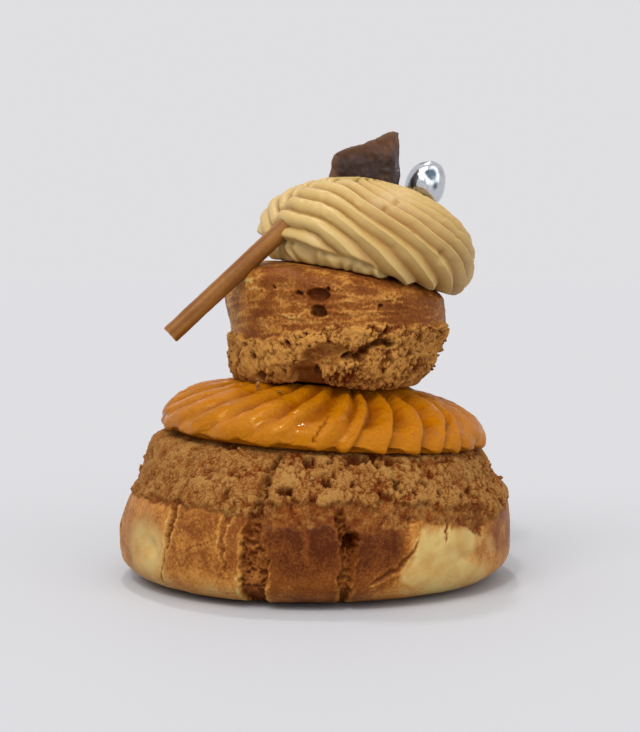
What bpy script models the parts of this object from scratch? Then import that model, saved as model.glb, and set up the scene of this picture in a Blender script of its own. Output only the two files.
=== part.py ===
"""A religieuse: a small choux bun on a large one, a piped caramel collar between them, a coffee cream
rosette on top, and a chocolate stick, a chocolate shard and a silvered almond pressed into the rosette.

Metres, +Z up. The origin is the centre of the large bun's flat base. The front is towards -Y."""

import math
from collections import namedtuple

import bmesh
import bpy
from mathutils import Matrix, Vector, noise

MM = 0.001
GAP = 0.3 * MM  # left between pieces that touch

# Large bun: a superellipse dome over a fuller lower half, which the base cuts flat.
LARGE_RADIUS = 39.3 * MM
LARGE_WIDEST = 9.0 * MM
LARGE_RISE = 26.0 * MM
LARGE_DEPTH = 9.8 * MM
LARGE_POWER_UP = 2.3
LARGE_POWER_DOWN = 4.0
LARGE_LEDGE = 18.8 * MM  # height of the lip of its crumbly cap
LARGE_LIP = 0.8 * MM
LARGE_RELIEF_FROM = 33.0 * MM  # nearer the middle than this, the dome is smooth under the collar
CRACK_DEPTH = 1.1 * MM
FRONT_CRACKS = (-131.0, -107.0, -82.0, -66.0)  # degrees round from +X
BACK_CRACKS = tuple(-38.0 + 33.0 * number for number in range(7))

# Caramel collar, piped in leaning folds.
COLLAR_X = 1.7 * MM
COLLAR_RADIUS = 32.7 * MM
COLLAR_BASE = 29.4 * MM
COLLAR_RISE = 10.2 * MM
COLLAR_POWER = 2.3
COLLAR_SLOPE = 0.066  # it falls this much per metre towards +X
COLLAR_FOLDS = 28
COLLAR_TWIST = math.radians(-1.75) / MM  # turn of a fold for each metre outwards
COLLAR_FOLD_DEPTH = 1.1 * MM
COLLAR_CREST = 0.72  # where across a fold its crest lies
COLLAR_CONTACT = 29.0 * MM  # its underside lies on the large bun out to here, then lifts off
COLLAR_LIFT = 0.8 * MM  # its rim stays at least this far above the bun

# Small bun, baked and then set upside down, so its crumbly cap is at the bottom.
SMALL_X = 4.0 * MM
SMALL_RADIUS = 22.2 * MM
SMALL_BOTTOM = 38.4 * MM
SMALL_TOP = 62.3 * MM
SMALL_WIDEST = 0.55  # share of its height
SMALL_POWER_UP = 8.0
SMALL_POWER_DOWN = 3.4
SMALL_SEAT = 13.0 * MM  # radius of its seat in the collar
SMALL_SEAT_EDGE = 17.0 * MM
SMALL_RELIEF = 0.7 * MM
SMALL_DENT = 1.3 * MM  # how far its lower right side is drawn in

# Coffee cream rosette, tilted down towards +X.
CREAM_CENTRE = Vector((9.4, 0.0, 61.2)) * MM
CREAM_TILT = math.radians(11.0)
CREAM_RADIUS = 22.1 * MM
CREAM_WIDEST = 5.0 * MM
CREAM_RISE = 13.3 * MM
CREAM_POWER = 2.05
CREAM_UNDER_RADIUS = 20.4 * MM
CREAM_RIDGES = 19
CREAM_FIRST = math.radians(-193.0)  # where the crest of one of the ridges would start
CREAM_CREST = 0.3
CREAM_TWIST = math.radians(5.0) / MM  # turn of a ridge for each metre along the outline
CREAM_SWEEP = 33.4 * MM  # length of the outline that has ridges
CREAM_RIDGE_DEPTH = 1.4 * MM
FOOT_HEIGHT = 4.0 * MM  # of the plain tier that shows below the ridges at the left
FOOT_INSET = 0.9 * MM
FOOT_MIDDLE = math.radians(190.0)
FOOT_HALF_ANGLE = math.radians(95.0)
FOOT_SCALLOPS = 22

# Chocolate stick, its lower end out in the air and its upper end in the rosette.
STICK_OUTER = Vector((-27.7, -15.4, 48.8)) * MM
STICK_ENTRY = Vector((-7.7, -12.6, 67.6)) * MM
STICK_INSIDE = 8.0 * MM
STICK_RADIUS = 1.8 * MM

# Dark chocolate shard, standing in the rosette. Its corners run along it and up.
SHARD_CENTRE = Vector((9.3, 2.0, 74.3)) * MM
SHARD_TURN = math.radians(-20.0)
SHARD_LEAN = math.radians(4.0)
SHARD_THICKNESS = 4.0 * MM
SHARD_CORNERS = ((-7.8, 0.0), (7.6, 0.0), (7.8, 14.6), (2.2, 12.6), (-5.0, 10.6))
SHARD_EDGE = 0.35 * MM

# Silvered almond.
ALMOND_CENTRE = Vector((22.4, 4.0, 78.6)) * MM
ALMOND_HALF_SIZES = Vector((4.15, 3.7, 5.2)) * MM
ALMOND_LEAN = math.radians(22.0)

Station = namedtuple("Station", "part radius height along out_r out_z")


def quarter(share, power):
    """How far a superellipse reaches along one half axis at this share of the other."""
    return (1.0 - min(abs(share), 1.0) ** power) ** (1.0 / power)


def ease(low, high, value):
    """0 below low, 1 above high, with a smooth rise between."""
    share = min(max((value - low) / (high - low), 0.0), 1.0)
    return share * share * (3.0 - 2.0 * share)


def mix(first, second, share):
    return first + (second - first) * share


def bump(angle, middle, half_width):
    """1 at the middle angle, falling smoothly to 0 half a width away, in radians."""
    away = abs((angle - middle + math.pi) % math.tau - math.pi)
    return 1.0 - ease(0.0, half_width, away)


def waves(direction, scale, seed):
    """Smooth seeded unevenness between about -1 and 1."""
    return noise.noise(Vector(direction) / scale + Vector((seed, 2.0 * seed, -seed)))


def ridge(phase, crest):
    """Height from 0, in a narrow groove, to 1, on a rounded crest this far across the ridge."""
    share = (phase % 1.0) ** (math.log(0.5) / math.log(crest))
    return math.sin(math.pi * share) ** 0.7


# Surfaces that two pieces share.


def large_top(x, y):
    """Height of the large bun's smooth dome."""
    return LARGE_WIDEST + LARGE_RISE * quarter(math.hypot(x, y) / LARGE_RADIUS, LARGE_POWER_UP)


def small_low(x, y):
    """Underside of the small bun, a little domed."""
    out = math.hypot(x - SMALL_X, y)
    return SMALL_BOTTOM - 0.05 * (x - SMALL_X) + 4.0 * out * out


def small_high(x, y):
    """The plane, tilted and a little domed, that the small bun's top follows."""
    along = x - SMALL_X
    return SMALL_TOP - 0.13 * along - 4.5 * along * along - 3.0 * y * y


def small_top(x, y):
    """Height of the small bun's top and shoulder, carried on level past its edge."""
    out = min(math.hypot(x - SMALL_X, y) / SMALL_RADIUS, 0.94)
    share = SMALL_WIDEST + (1.0 - SMALL_WIDEST) * quarter(out, SMALL_POWER_UP)
    return mix(small_low(x, y), small_high(x, y), share)


# Outlines, each from the top of the axis to the bottom. A point is (part, radius, height).


def arc(part, radius, base, rise, power, count):
    """A quarter superellipse from the axis, at base + rise, to the radius, at base."""
    points = []
    for number in range(count + 1):
        turn = 0.5 * math.pi * number / count
        reach = math.sin(turn) ** (2.0 / power)
        points.append((part, radius * reach, base + rise * quarter(reach, power)))
    return points


def large_outline():
    points = arc("top", LARGE_RADIUS, LARGE_WIDEST, LARGE_RISE, LARGE_POWER_UP, 9)
    for share in (0.35, 0.62, 0.8, LARGE_WIDEST / LARGE_DEPTH):
        radius = LARGE_RADIUS * quarter(share, LARGE_POWER_DOWN)
        points.append(("side", radius, LARGE_WIDEST - LARGE_DEPTH * share))
    points.append(("base", 0.0, 0.0))
    return points


def collar_outline():
    points = arc("top", COLLAR_RADIUS, COLLAR_BASE, COLLAR_RISE, COLLAR_POWER, 7)
    points.append(("rim", COLLAR_RADIUS - 0.9 * MM, COLLAR_BASE - 1.3 * MM))
    for share in (1.0, 0.85, 0.69, 0.45, 0.0):
        points.append(("under", COLLAR_CONTACT * share, COLLAR_BASE - 1.5 * MM))
    return points


def small_outline():
    """Its heights are shares of the way from the underside to the top."""
    points = arc("top", SMALL_RADIUS, SMALL_WIDEST, 1.0 - SMALL_WIDEST, SMALL_POWER_UP, 6)
    for share in (0.45, 0.75, 0.93, 1.0):
        radius = SMALL_RADIUS * quarter(share, SMALL_POWER_DOWN) if share < 1.0 else 12.0 * MM
        points.append(("side", radius, SMALL_WIDEST * (1.0 - share)))
    points.append(("base", 0.0, 0.0))
    return points


def cream_outline():
    points = arc("top", CREAM_RADIUS, CREAM_WIDEST, CREAM_RISE, CREAM_POWER, 8)
    for share, inset in ((0.66, 0.2), (0.36, 0.5), (0.12, 1.0)):
        radius = mix(CREAM_RADIUS, CREAM_UNDER_RADIUS, inset)
        points.append(("wall", radius, CREAM_WIDEST * share))
    for share in (0.95, 0.7, 0.38, 0.0):
        points.append(("under", CREAM_UNDER_RADIUS * share, 0.0))
    return points


def stations_of(outline):
    """The outline's points with the way along it and the way out of the surface."""
    stations = []
    along = 0.0
    for number, (part, radius, height) in enumerate(outline):
        before = outline[max(number - 1, 0)]
        after = outline[min(number + 1, len(outline) - 1)]
        if number:
            along += math.hypot(radius - before[1], height - before[2])
        tangent = Vector((after[1] - before[1], after[2] - before[2])).normalized()
        stations.append(Station(part, radius, height, along, -tangent.y, tangent.x))
    return stations


# Building.


def object_of(name, bm, finish):
    """A named, smooth object from a bmesh, with a material of this colour and roughness."""
    bmesh.ops.remove_doubles(bm, verts=bm.verts, dist=1e-6)
    bmesh.ops.recalc_face_normals(bm, faces=bm.faces)
    if bm.calc_volume(signed=True) < 0.0:
        bmesh.ops.reverse_faces(bm, faces=bm.faces)
    mesh = bpy.data.meshes.new(name)
    bm.to_mesh(mesh)
    bm.free()
    mesh.shade_smooth()
    mesh.set_sharp_from_angle(angle=math.radians(50.0))
    obj = bpy.data.objects.new(name, mesh)
    bpy.context.collection.objects.link(obj)
    if finish:
        colour, roughness, metallic = finish
        material = bpy.data.materials.new(name)
        material.use_nodes = True
        shader = material.node_tree.nodes["Principled BSDF"]
        shader.inputs["Base Color"].default_value = (*colour, 1.0)
        shader.inputs["Roughness"].default_value = roughness
        shader.inputs["Metallic"].default_value = metallic
        mesh.materials.append(material)
    return obj


def turned(name, outline, steps, shape, finish):
    """Spins an outline round the axis, then puts each point where shape(station, start) says.
    The start is the angle at which the point's line of longitude leaves the top."""
    stations = stations_of(outline)
    bm = bmesh.new()
    points = [bm.verts.new((station.radius, 0.0, station.height)) for station in stations]
    edges = [bm.edges.new(pair) for pair in zip(points, points[1:])]
    bmesh.ops.spin(
        bm,
        geom=points + edges,
        cent=(0.0, 0.0, 0.0),
        axis=(0.0, 0.0, 1.0),
        dvec=(0.0, 0.0, 0.0),
        angle=math.tau,
        steps=steps,
        use_merge=True,
    )
    bmesh.ops.remove_doubles(bm, verts=bm.verts, dist=1e-6)
    for vert in bm.verts:
        radius = math.hypot(vert.co.x, vert.co.y)
        start = math.atan2(vert.co.y, vert.co.x)
        nearest = min(
            stations, key=lambda s: (s.radius - radius) ** 2 + (s.height - vert.co.z) ** 2
        )
        vert.co = shape(nearest, start)
    return object_of(name, bm, finish)


def subtract(obj, cutter):
    """Cuts a helper's shape out of the object."""
    cutter.hide_render = True
    cutter.display_type = "WIRE"
    cut = obj.modifiers.new(f"pocket for {cutter.name}", "BOOLEAN")
    cut.operation = "DIFFERENCE"
    cut.solver = "EXACT"
    cut.object = cutter


# Large bun.


def large_shape(station, angle):
    """Cap with a lip, over a browned side parted by upright cracks."""
    x = station.radius * math.cos(angle)
    y = station.radius * math.sin(angle)
    reach = ease(LARGE_RELIEF_FROM, LARGE_RELIEF_FROM + 3.0 * MM, station.radius)
    reach *= ease(0.4 * MM, 4.0 * MM, station.height)
    lip = ease(-1.2 * MM, 1.2 * MM, station.height - LARGE_LEDGE)
    out = LARGE_LIP * (lip - 0.5) + 0.5 * MM * waves((x, y, station.height), 13.0 * MM, 3.0)
    side = 1.0 - ease(LARGE_LEDGE - 2.0 * MM, LARGE_LEDGE + 2.0 * MM, station.height)
    for crack in FRONT_CRACKS + BACK_CRACKS:
        out -= CRACK_DEPTH * side * bump(angle, math.radians(crack), math.radians(5.0))
    radius = station.radius + reach * out * station.out_r
    height = station.height + reach * out * station.out_z
    return Vector((radius * math.cos(angle), radius * math.sin(angle), height))


def large_choux():
    return turned("large_choux", large_outline(), 80, large_shape, ((0.25, 0.10, 0.03), 0.75, 0.0))


# Caramel collar.


def collar_shape(station, start):
    """A shallow dome of folds that lies on the large bun and dips to seat the small one."""
    angle = start + COLLAR_TWIST * station.radius
    depth = COLLAR_FOLD_DEPTH * (1.0 - ridge(start * COLLAR_FOLDS / math.tau, COLLAR_CREST))
    depth *= ease(12.0 * MM, 22.0 * MM, station.radius) if station.part != "under" else 0.0
    radius = station.radius - depth * station.out_r
    x = COLLAR_X + radius * math.cos(angle)
    y = radius * math.sin(angle)
    if station.part == "under":
        return Vector((x, y, large_top(x, y) + GAP))
    height = station.height - depth * station.out_z - COLLAR_SLOPE * (x - COLLAR_X)
    height = max(height, large_top(x, y) + COLLAR_LIFT)
    seat = small_low(x, y) - GAP
    clear = ease(SMALL_SEAT, SMALL_SEAT_EDGE, math.hypot(x - SMALL_X, y))
    return Vector((x, y, mix(seat, min(height, seat) if clear < 1.0 else height, clear)))


def caramel_collar():
    steps = 4 * COLLAR_FOLDS
    return turned("caramel_collar", collar_outline(), steps, collar_shape, ((0.48, 0.16, 0.01), 0.3, 0.0))


# Small bun.


def small_shape(station, angle):
    """Upright sides between the domed underside and the tilted top, drawn in at the lower right."""
    share = station.height
    wall = ease(0.05, 0.3, share) * (1.0 - ease(0.75, 0.9, share))
    x = station.radius * math.cos(angle)
    y = station.radius * math.sin(angle)
    out = SMALL_RELIEF * waves((x, y, share * 24.0 * MM), 11.0 * MM, 7.0)
    out -= SMALL_DENT * bump(angle, math.radians(-20.0), math.radians(80.0)) * (1.0 - ease(0.2, 0.55, share))
    radius = station.radius + wall * out * station.out_r
    x = SMALL_X + radius * math.cos(angle)
    y = radius * math.sin(angle)
    return Vector((x, y, mix(small_low(x, y), small_high(x, y), share)))


def small_choux():
    return turned("small_choux", small_outline(), 60, small_shape, ((0.24, 0.09, 0.025), 0.7, 0.0))


# Coffee cream rosette.


def cream_world(radius, angle, height):
    """A point of the upright rosette, tilted into place."""
    point = Vector((radius * math.cos(angle), radius * math.sin(angle), height))
    return CREAM_CENTRE + Matrix.Rotation(CREAM_TILT, 3, "Y") @ point


def cream_shape(station, start):
    """Ridges that sweep round and down over a plain foot, which lies on the small bun."""
    angle = start + CREAM_TWIST * min(station.along, CREAM_SWEEP)
    phase = (start - CREAM_FIRST) * CREAM_RIDGES / math.tau + CREAM_CREST
    depth = CREAM_RIDGE_DEPTH * (1.0 - ridge(phase, CREAM_CREST))
    depth *= ease(2.0 * MM, 8.0 * MM, station.radius)
    if station.part == "top":
        radius = station.radius - depth * station.out_r
        return cream_world(radius, angle, station.height - depth * station.out_z)
    foot = FOOT_HEIGHT * bump(angle, FOOT_MIDDLE, FOOT_HALF_ANGLE)
    in_foot = 1.0 - ease(0.7 * foot, 1.3 * foot + 0.1 * MM, station.height)
    scallop = 0.35 * MM * math.cos(FOOT_SCALLOPS * angle)
    radius = station.radius - mix(depth, FOOT_INSET + scallop, in_foot)
    if station.part == "under":
        radius = station.radius
    rim = cream_world(radius, angle, CREAM_WIDEST)
    point = cream_world(radius, angle, station.height)
    floor = small_top(point.x, point.y) + GAP
    return Vector((point.x, point.y, mix(floor, rim.z, station.height / CREAM_WIDEST)))


def coffee_cream():
    steps = 5 * CREAM_RIDGES
    return turned("coffee_cream", cream_outline(), steps, cream_shape, ((0.56, 0.36, 0.14), 0.45, 0.0))


# Toppings. Each is built with a margin of 0 as itself, or of GAP as the cutter of its pocket.


def stick(name, margin, finish=None):
    way = (STICK_ENTRY - STICK_OUTER).normalized()
    start = STICK_OUTER - way * margin
    end = STICK_ENTRY + way * (STICK_INSIDE + margin)
    middle = Matrix.Translation((start + end) / 2.0) @ way.to_track_quat("Z", "Y").to_matrix().to_4x4()
    bm = bmesh.new()
    bmesh.ops.create_cone(
        bm,
        cap_ends=True,
        segments=24,
        radius1=STICK_RADIUS + margin,
        radius2=STICK_RADIUS + margin,
        depth=(end - start).length,
        matrix=middle,
    )
    return object_of(name, bm, finish)


def shard(name, margin, finish=None):
    bm = bmesh.new()
    half = SHARD_THICKNESS / 2.0 + margin
    corners = [bm.verts.new((a * MM, -half, b * MM)) for a, b in SHARD_CORNERS]
    face = bm.faces.new(corners)
    grown = bmesh.ops.extrude_face_region(bm, geom=[face])["geom"]
    moved = [item for item in grown if isinstance(item, bmesh.types.BMVert)]
    bmesh.ops.translate(bm, verts=moved, vec=(0.0, 2.0 * half, 0.0))
    bmesh.ops.recalc_face_normals(bm, faces=bm.faces)
    if margin:
        low = [vert for vert in bm.verts if vert.co.z < 1.0 * MM]
        bmesh.ops.translate(bm, verts=low, vec=(0.0, 0.0, -margin))
        for vert in bm.verts:
            vert.co.x += math.copysign(margin, vert.co.x)
    else:
        bmesh.ops.bevel(
            bm, geom=bm.edges[:], offset=SHARD_EDGE, segments=1, affect="EDGES", profile=0.5, material=-1
        )
    turn = Matrix.Rotation(SHARD_TURN, 4, "Z") @ Matrix.Rotation(SHARD_LEAN, 4, "X")
    bm.transform(Matrix.Translation(SHARD_CENTRE) @ turn)
    return object_of(name, bm, finish)


def almond(name, margin, finish=None):
    bm = bmesh.new()
    bmesh.ops.create_uvsphere(bm, u_segments=20, v_segments=12, radius=1.0)
    sizes = [half + margin for half in ALMOND_HALF_SIZES]
    place = Matrix.Translation(ALMOND_CENTRE) @ Matrix.Rotation(ALMOND_LEAN, 4, "Y")
    bm.transform(place @ Matrix.Diagonal((*sizes, 1.0)))
    return object_of(name, bm, finish)


def main():
    for obj in list(bpy.data.objects):
        bpy.data.objects.remove(obj, do_unlink=True)
    large_choux()
    caramel_collar()
    small = small_choux()
    cream = coffee_cream()
    stick("chocolate_stick", 0.0, ((0.28, 0.10, 0.03), 0.45, 0.0))
    shard("chocolate_shard", 0.0, ((0.04, 0.015, 0.008), 0.5, 0.0))
    almond("silvered_almond", 0.0, ((0.75, 0.76, 0.78), 0.2, 1.0))
    rest = stick("stick_cutter", GAP)
    subtract(small, rest)
    subtract(cream, rest)
    subtract(cream, shard("shard_cutter", GAP))
    subtract(cream, almond("almond_cutter", GAP))


main()
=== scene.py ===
"""The looks of a religieuse: two choux buns with a crumbly cap, a caramel collar, a coffee rosette and
its three toppings, on a pale floor in soft light.

Metres, +Z up, the front towards -Y. Angles round a piece are in degrees from +X, so -90 is the front.
Places on a bun's wall are (angle, height in millimetres)."""

import math
import random
from collections import namedtuple

import bmesh
import bpy
from bpy.props import FloatProperty, FloatVectorProperty, IntProperty, PointerProperty
from mathutils import Matrix, Vector, noise


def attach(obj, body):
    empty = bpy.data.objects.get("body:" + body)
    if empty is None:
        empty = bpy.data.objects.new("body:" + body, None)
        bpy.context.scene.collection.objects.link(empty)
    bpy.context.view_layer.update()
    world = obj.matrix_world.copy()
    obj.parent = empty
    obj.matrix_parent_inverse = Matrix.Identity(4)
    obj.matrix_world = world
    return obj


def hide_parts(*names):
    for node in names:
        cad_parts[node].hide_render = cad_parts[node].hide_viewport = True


bl_info = {
    "name": "Religieuse",
    "version": (1, 0, 0),
    "blender": (4, 5, 0),
    "location": "3D View > Sidebar > Pastry",
    "description": "Finishes a religieuse: baked, piped and dressed round its frame",
    "category": "Add Mesh",
}

noise.seed_set(1)  # noise_vector takes its offsets from this seed, and from the clock without one
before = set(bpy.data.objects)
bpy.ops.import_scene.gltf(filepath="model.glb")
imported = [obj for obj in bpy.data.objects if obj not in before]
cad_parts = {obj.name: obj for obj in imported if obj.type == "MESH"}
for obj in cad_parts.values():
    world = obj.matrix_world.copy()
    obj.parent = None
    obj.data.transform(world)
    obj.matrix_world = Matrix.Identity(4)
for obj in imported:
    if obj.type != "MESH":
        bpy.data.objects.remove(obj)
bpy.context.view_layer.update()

MM = 0.001
GAP = 0.3 * MM  # left between pieces that touch
FRONT = -90.0
DETAIL = 1.0  # share of the full number of mesh lines

# Large bun.
LARGE_RADIUS = 39.3 * MM
LARGE_WIDEST = 9.0 * MM
LARGE_RISE = 26.0 * MM
LARGE_DEPTH = 9.8 * MM
LARGE_POWER_UP = 2.3
LARGE_POWER_DOWN = 4.0

# Caramel collar.
COLLAR_X = 1.7 * MM
COLLAR_RADIUS = 32.7 * MM
COLLAR_BASE = 29.4 * MM
COLLAR_RISE = 10.2 * MM
COLLAR_POWER = 2.3
COLLAR_SLOPE = 0.066
COLLAR_CONTACT = 29.0 * MM
COLLAR_LIFT = 0.8 * MM

# Small bun, upside down.
SMALL_X = 4.0 * MM
SMALL_RADIUS = 22.2 * MM
SMALL_HEIGHT = 24.0 * MM
SMALL_WIDEST = 0.55
SMALL_POWER_UP = 8.0
SMALL_POWER_DOWN = 3.4
SMALL_SEAT = 13.0 * MM
SMALL_SEAT_EDGE = 17.0 * MM

# Coffee rosette.
CREAM_CENTRE = Vector((9.4, 0.0, 61.2)) * MM
CREAM_TILT = math.radians(11.0)
CREAM_RADIUS = 22.1 * MM
CREAM_WIDEST = 5.0 * MM
CREAM_RISE = 13.3 * MM
CREAM_POWER = 2.05
CREAM_UNDER_RADIUS = 20.4 * MM
CREAM_SWEEP = 33.4 * MM

# Toppings.
STICK_OUTER = Vector((-27.7, -15.4, 48.8)) * MM
STICK_ENTRY = Vector((-7.7, -12.6, 67.6)) * MM
STICK_INSIDE = 5.5 * MM
STICK_RADIUS = 1.8 * MM
SHARD_CENTRE = Vector((9.3, 2.0, 74.3)) * MM
SHARD_TURN = math.radians(-20.0)
SHARD_LEAN = math.radians(4.0)
SHARD_THICKNESS = 4.0 * MM
SHARD_NUDGE = 0.01 * MM
SHARD_CORNERS = ((-7.8, 0.0), (7.6, 0.0), (7.8, 14.6), (2.2, 12.6), (-5.0, 10.6))
ALMOND_CENTRE = Vector((22.4, 4.0, 78.6)) * MM
ALMOND_HALF_SIZES = Vector((4.15, 3.7, 5.2)) * MM
ALMOND_LEAN = math.radians(22.0)

Station = namedtuple("Station", "part radius height along out_r out_z")
Crack = namedtuple("Crack", "course depth lace")
Hollow = namedtuple("Hollow", "angle height half_width half_height depth")


def srgb(red, green, blue):
    """A screen colour, 0 to 255, as the linear colour that Blender works in."""
    channels = []
    for value in (red, green, blue):
        share = value / 255.0
        channels.append(share / 12.92 if share <= 0.04045 else ((share + 0.055) / 1.055) ** 2.4)
    return tuple(channels)


def colour_property(name, description, red, green, blue):
    return FloatVectorProperty(
        name=name,
        description=description,
        subtype="COLOR",
        size=3,
        min=0.0,
        max=1.0,
        default=srgb(red, green, blue),
    )


def length_property(name, description, millimetres):
    return FloatProperty(
        name=name, description=description, subtype="DISTANCE", unit="LENGTH", default=millimetres * MM
    )


class BakedLook(bpy.types.PropertyGroup):
    """Both buns: the smooth skin and the crumbly cap."""

    crumb_size: length_property("Crumb size", "Width of the larger lumps of the crumbly cap", 1.7)
    crumb_depth: length_property("Crumb depth", "How deep the clefts between the lumps are", 0.44)
    pit_depth: length_property("Pit depth", "How deep the cap's scattered pits are", 1.3)
    loose_crumbs: IntProperty(
        name="Loose crumbs", description="Loose crumbs on the large bun's cap", default=260, min=0
    )
    dough: colour_property("Dough", "Skin that the oven left pale", 184, 158, 98)
    golden: colour_property("Golden skin", "Lightly baked skin", 172, 116, 52)
    brown: colour_property("Brown skin", "Well baked skin", 122, 68, 24)
    dark: colour_property("Dark skin", "The darkest skin, under the cap", 72, 28, 6)
    # painted light: the crumb is lighter on its tops
    crumb_light: colour_property("Crumb tops", "The tops of the large bun's crumbs", 154, 112, 58)
    # lighter than the large bun's tops: partly the small bun's own paler crumb, partly painted light against the
    # cream's shade over it
    crumb_pale: colour_property("Pale crumb tops", "The tops of the small bun's crumbs", 181, 128, 62)
    crumb: colour_property("Crumb", "The body of the crumbly cap", 122, 72, 28)
    # painted shade: the crumb is darker down in its clefts
    crumb_cleft_shade: colour_property("Crumb clefts", "Deep between the crumbs", 96, 35, 6)
    # painted shade: the colour put inside cracks, holes and pits
    hollow: colour_property("Hollows", "The insides of cracks, holes and pits", 82, 24, 2)


class CollarLook(bpy.types.PropertyGroup):
    """The piped caramel collar."""

    fold_depth: length_property("Fold depth", "How deep the deepest valleys between the folds are", 1.5)
    caramel: colour_property("Caramel", "The folds", 165, 98, 1)
    # painted shade: the colour down in the valleys between the folds
    caramel_valley_shade: colour_property("Deep caramel", "The valleys between the folds", 138, 70, 0)


class RosetteLook(bpy.types.PropertyGroup):
    """The coffee cream rosette."""

    ridges: IntProperty(name="Ridges", description="Ridges left by the star nozzle", default=19, min=5)
    ridge_depth: length_property("Ridge depth", "How deep the grooves between the ridges are", 1.5)
    twist: FloatProperty(
        name="Twist", description="Degrees that a ridge turns for each millimetre of its way down", default=5.0
    )
    cream: colour_property("Coffee cream", "The ridges", 181, 152, 92)
    # painted shade: the colour down in the grooves
    cream_groove_shade: colour_property("Deep cream", "Down in the grooves", 154, 112, 54)


class ToppingLook(bpy.types.PropertyGroup):
    """The stick, the shard and the almond."""

    stick: colour_property("Stick", "Milk chocolate of the stick", 112, 64, 22)
    stick_edge: colour_property("Stick bloom", "Lighter streaks along the stick", 150, 102, 46)
    shard: colour_property("Shard", "Dark chocolate of the shard", 40, 18, 10)
    shard_dust: colour_property("Cocoa dust", "Cocoa on the shard", 116, 76, 44)
    silver: colour_property("Silver", "The silvered skin of the almond", 205, 208, 212)
    # painted shade and a painted dark reflection, put in the dimples
    silver_shade_and_reflection: colour_property("Silver shade", "Darker places of the silvered skin", 70, 84, 96)


class StageLook(bpy.types.PropertyGroup):
    """Floor, light and camera."""

    floor: colour_property("Floor", "The plain floor", 181, 181, 183)
    backdrop: colour_property("Backdrop", "The plain pale surroundings", 224, 223, 226)
    key: FloatProperty(name="Key light", description="Strength of the main soft light", default=1.5)
    fill: FloatProperty(name="Fill light", description="Strength of the second soft light", default=1.0)
    glint: FloatProperty(name="Glint light", description="Strength of the small light for gloss", default=0.6)
    top: FloatProperty(name="Top light", description="Strength of the small light from above", default=0.7)


class PastryLook(bpy.types.PropertyGroup):
    baked: PointerProperty(type=BakedLook)
    collar: PointerProperty(type=CollarLook)
    rosette: PointerProperty(type=RosetteLook)
    toppings: PointerProperty(type=ToppingLook)
    stage: PointerProperty(type=StageLook)


# Numbers.


def quarter(share, power):
    """How far a superellipse reaches along one half axis at this share of the other."""
    return (1.0 - min(abs(share), 1.0) ** power) ** (1.0 / power)


def ease(low, high, value):
    """0 below low, 1 above high, with a smooth rise between."""
    share = min(max((value - low) / (high - low), 0.0), 1.0)
    return share * share * (3.0 - 2.0 * share)


def mix(first, second, share):
    return first + (second - first) * share


def away(first, second):
    """Degrees from the second angle round to the first, between -180 and 180."""
    return (first - second + 180.0) % 360.0 - 180.0


def hump(value, half_width):
    """1 at 0, falling smoothly to 0 at the half width."""
    return 1.0 - ease(0.0, half_width, abs(value))


def along(points, angle):
    """The value at this angle on a line through (angle, value) points that run round from -270 to 90."""
    for (low, first), (high, second) in zip(points, points[1:]):
        if low <= angle <= high:
            return mix(first, second, (angle - low) / (high - low))
    low, first = points[-1]
    high, second = points[0][0] + 360.0, points[0][1]
    return mix(first, second, ((angle - low) % 360.0) / (high - low))


def waves(place, size, seed):
    """Smooth unevenness between about -1 and 1, with waves of this size."""
    return noise.noise(place / size + Vector((seed, 1.7 * seed, -seed)))


def crumbs(place, size, seed, parting=0.5):
    """Height, mostly from 0 to 1, of a crumbly surface: lumps of smaller lumps, with clefts between some."""
    bent = 0.45 * noise.noise_vector(place / (0.7 * size)) + 0.14 * noise.noise_vector(place / (0.25 * size))
    large = noise.voronoi(place / size + bent + Vector((seed, seed, -seed)))[0]
    small = noise.voronoi(place / (0.45 * size) + bent + Vector((seed, -seed, seed)))[0]
    parted = ease(-0.3, 0.3, waves(place, 1.9 * size, seed + 13.0))
    cleft = parted * (1.0 - ease(0.0, 0.2, large[1] - large[0]))
    swell = 0.32 * waves(place, 2.2 * size, seed + 9.0) + 0.08 * waves(place, 0.24 * size, seed)
    return 1.02 - 0.42 * large[0] ** 2.0 - 0.42 * small[0] ** 1.6 - parting * cleft + swell


# Surfaces that two pieces share.


def large_top(x, y):
    """Height of the large bun's smooth dome."""
    return LARGE_WIDEST + LARGE_RISE * quarter(math.hypot(x, y) / LARGE_RADIUS, LARGE_POWER_UP)


def small_low(x, y):
    """Underside of the small bun, a little domed."""
    out = math.hypot(x - SMALL_X, y)
    return 38.4 * MM - 0.05 * (x - SMALL_X) + 4.0 * out * out


def small_high(x, y):
    """The plane, tilted and a little domed, that the small bun's top follows."""
    across = x - SMALL_X
    return 62.3 * MM - 0.13 * across - 4.5 * across * across - 3.0 * y * y


def small_top(x, y):
    """Height of the small bun's top and shoulder, carried on level past its edge."""
    out = min(math.hypot(x - SMALL_X, y) / SMALL_RADIUS, 0.94)
    share = SMALL_WIDEST + (1.0 - SMALL_WIDEST) * quarter(out, SMALL_POWER_UP)
    return mix(small_low(x, y), small_high(x, y), share)


# Outlines, each from the top of the axis to the bottom. A point is (part, radius, height).


def arc(part, radius, base, rise, power, count):
    """A quarter superellipse from the axis, at base + rise, to the radius, at base."""
    points = []
    for number in range(count + 1):
        turn = 0.5 * math.pi * number / count
        reach = math.sin(turn) ** (2.0 / power)
        points.append((part, radius * reach, base + rise * quarter(reach, power)))
    return points


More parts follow.
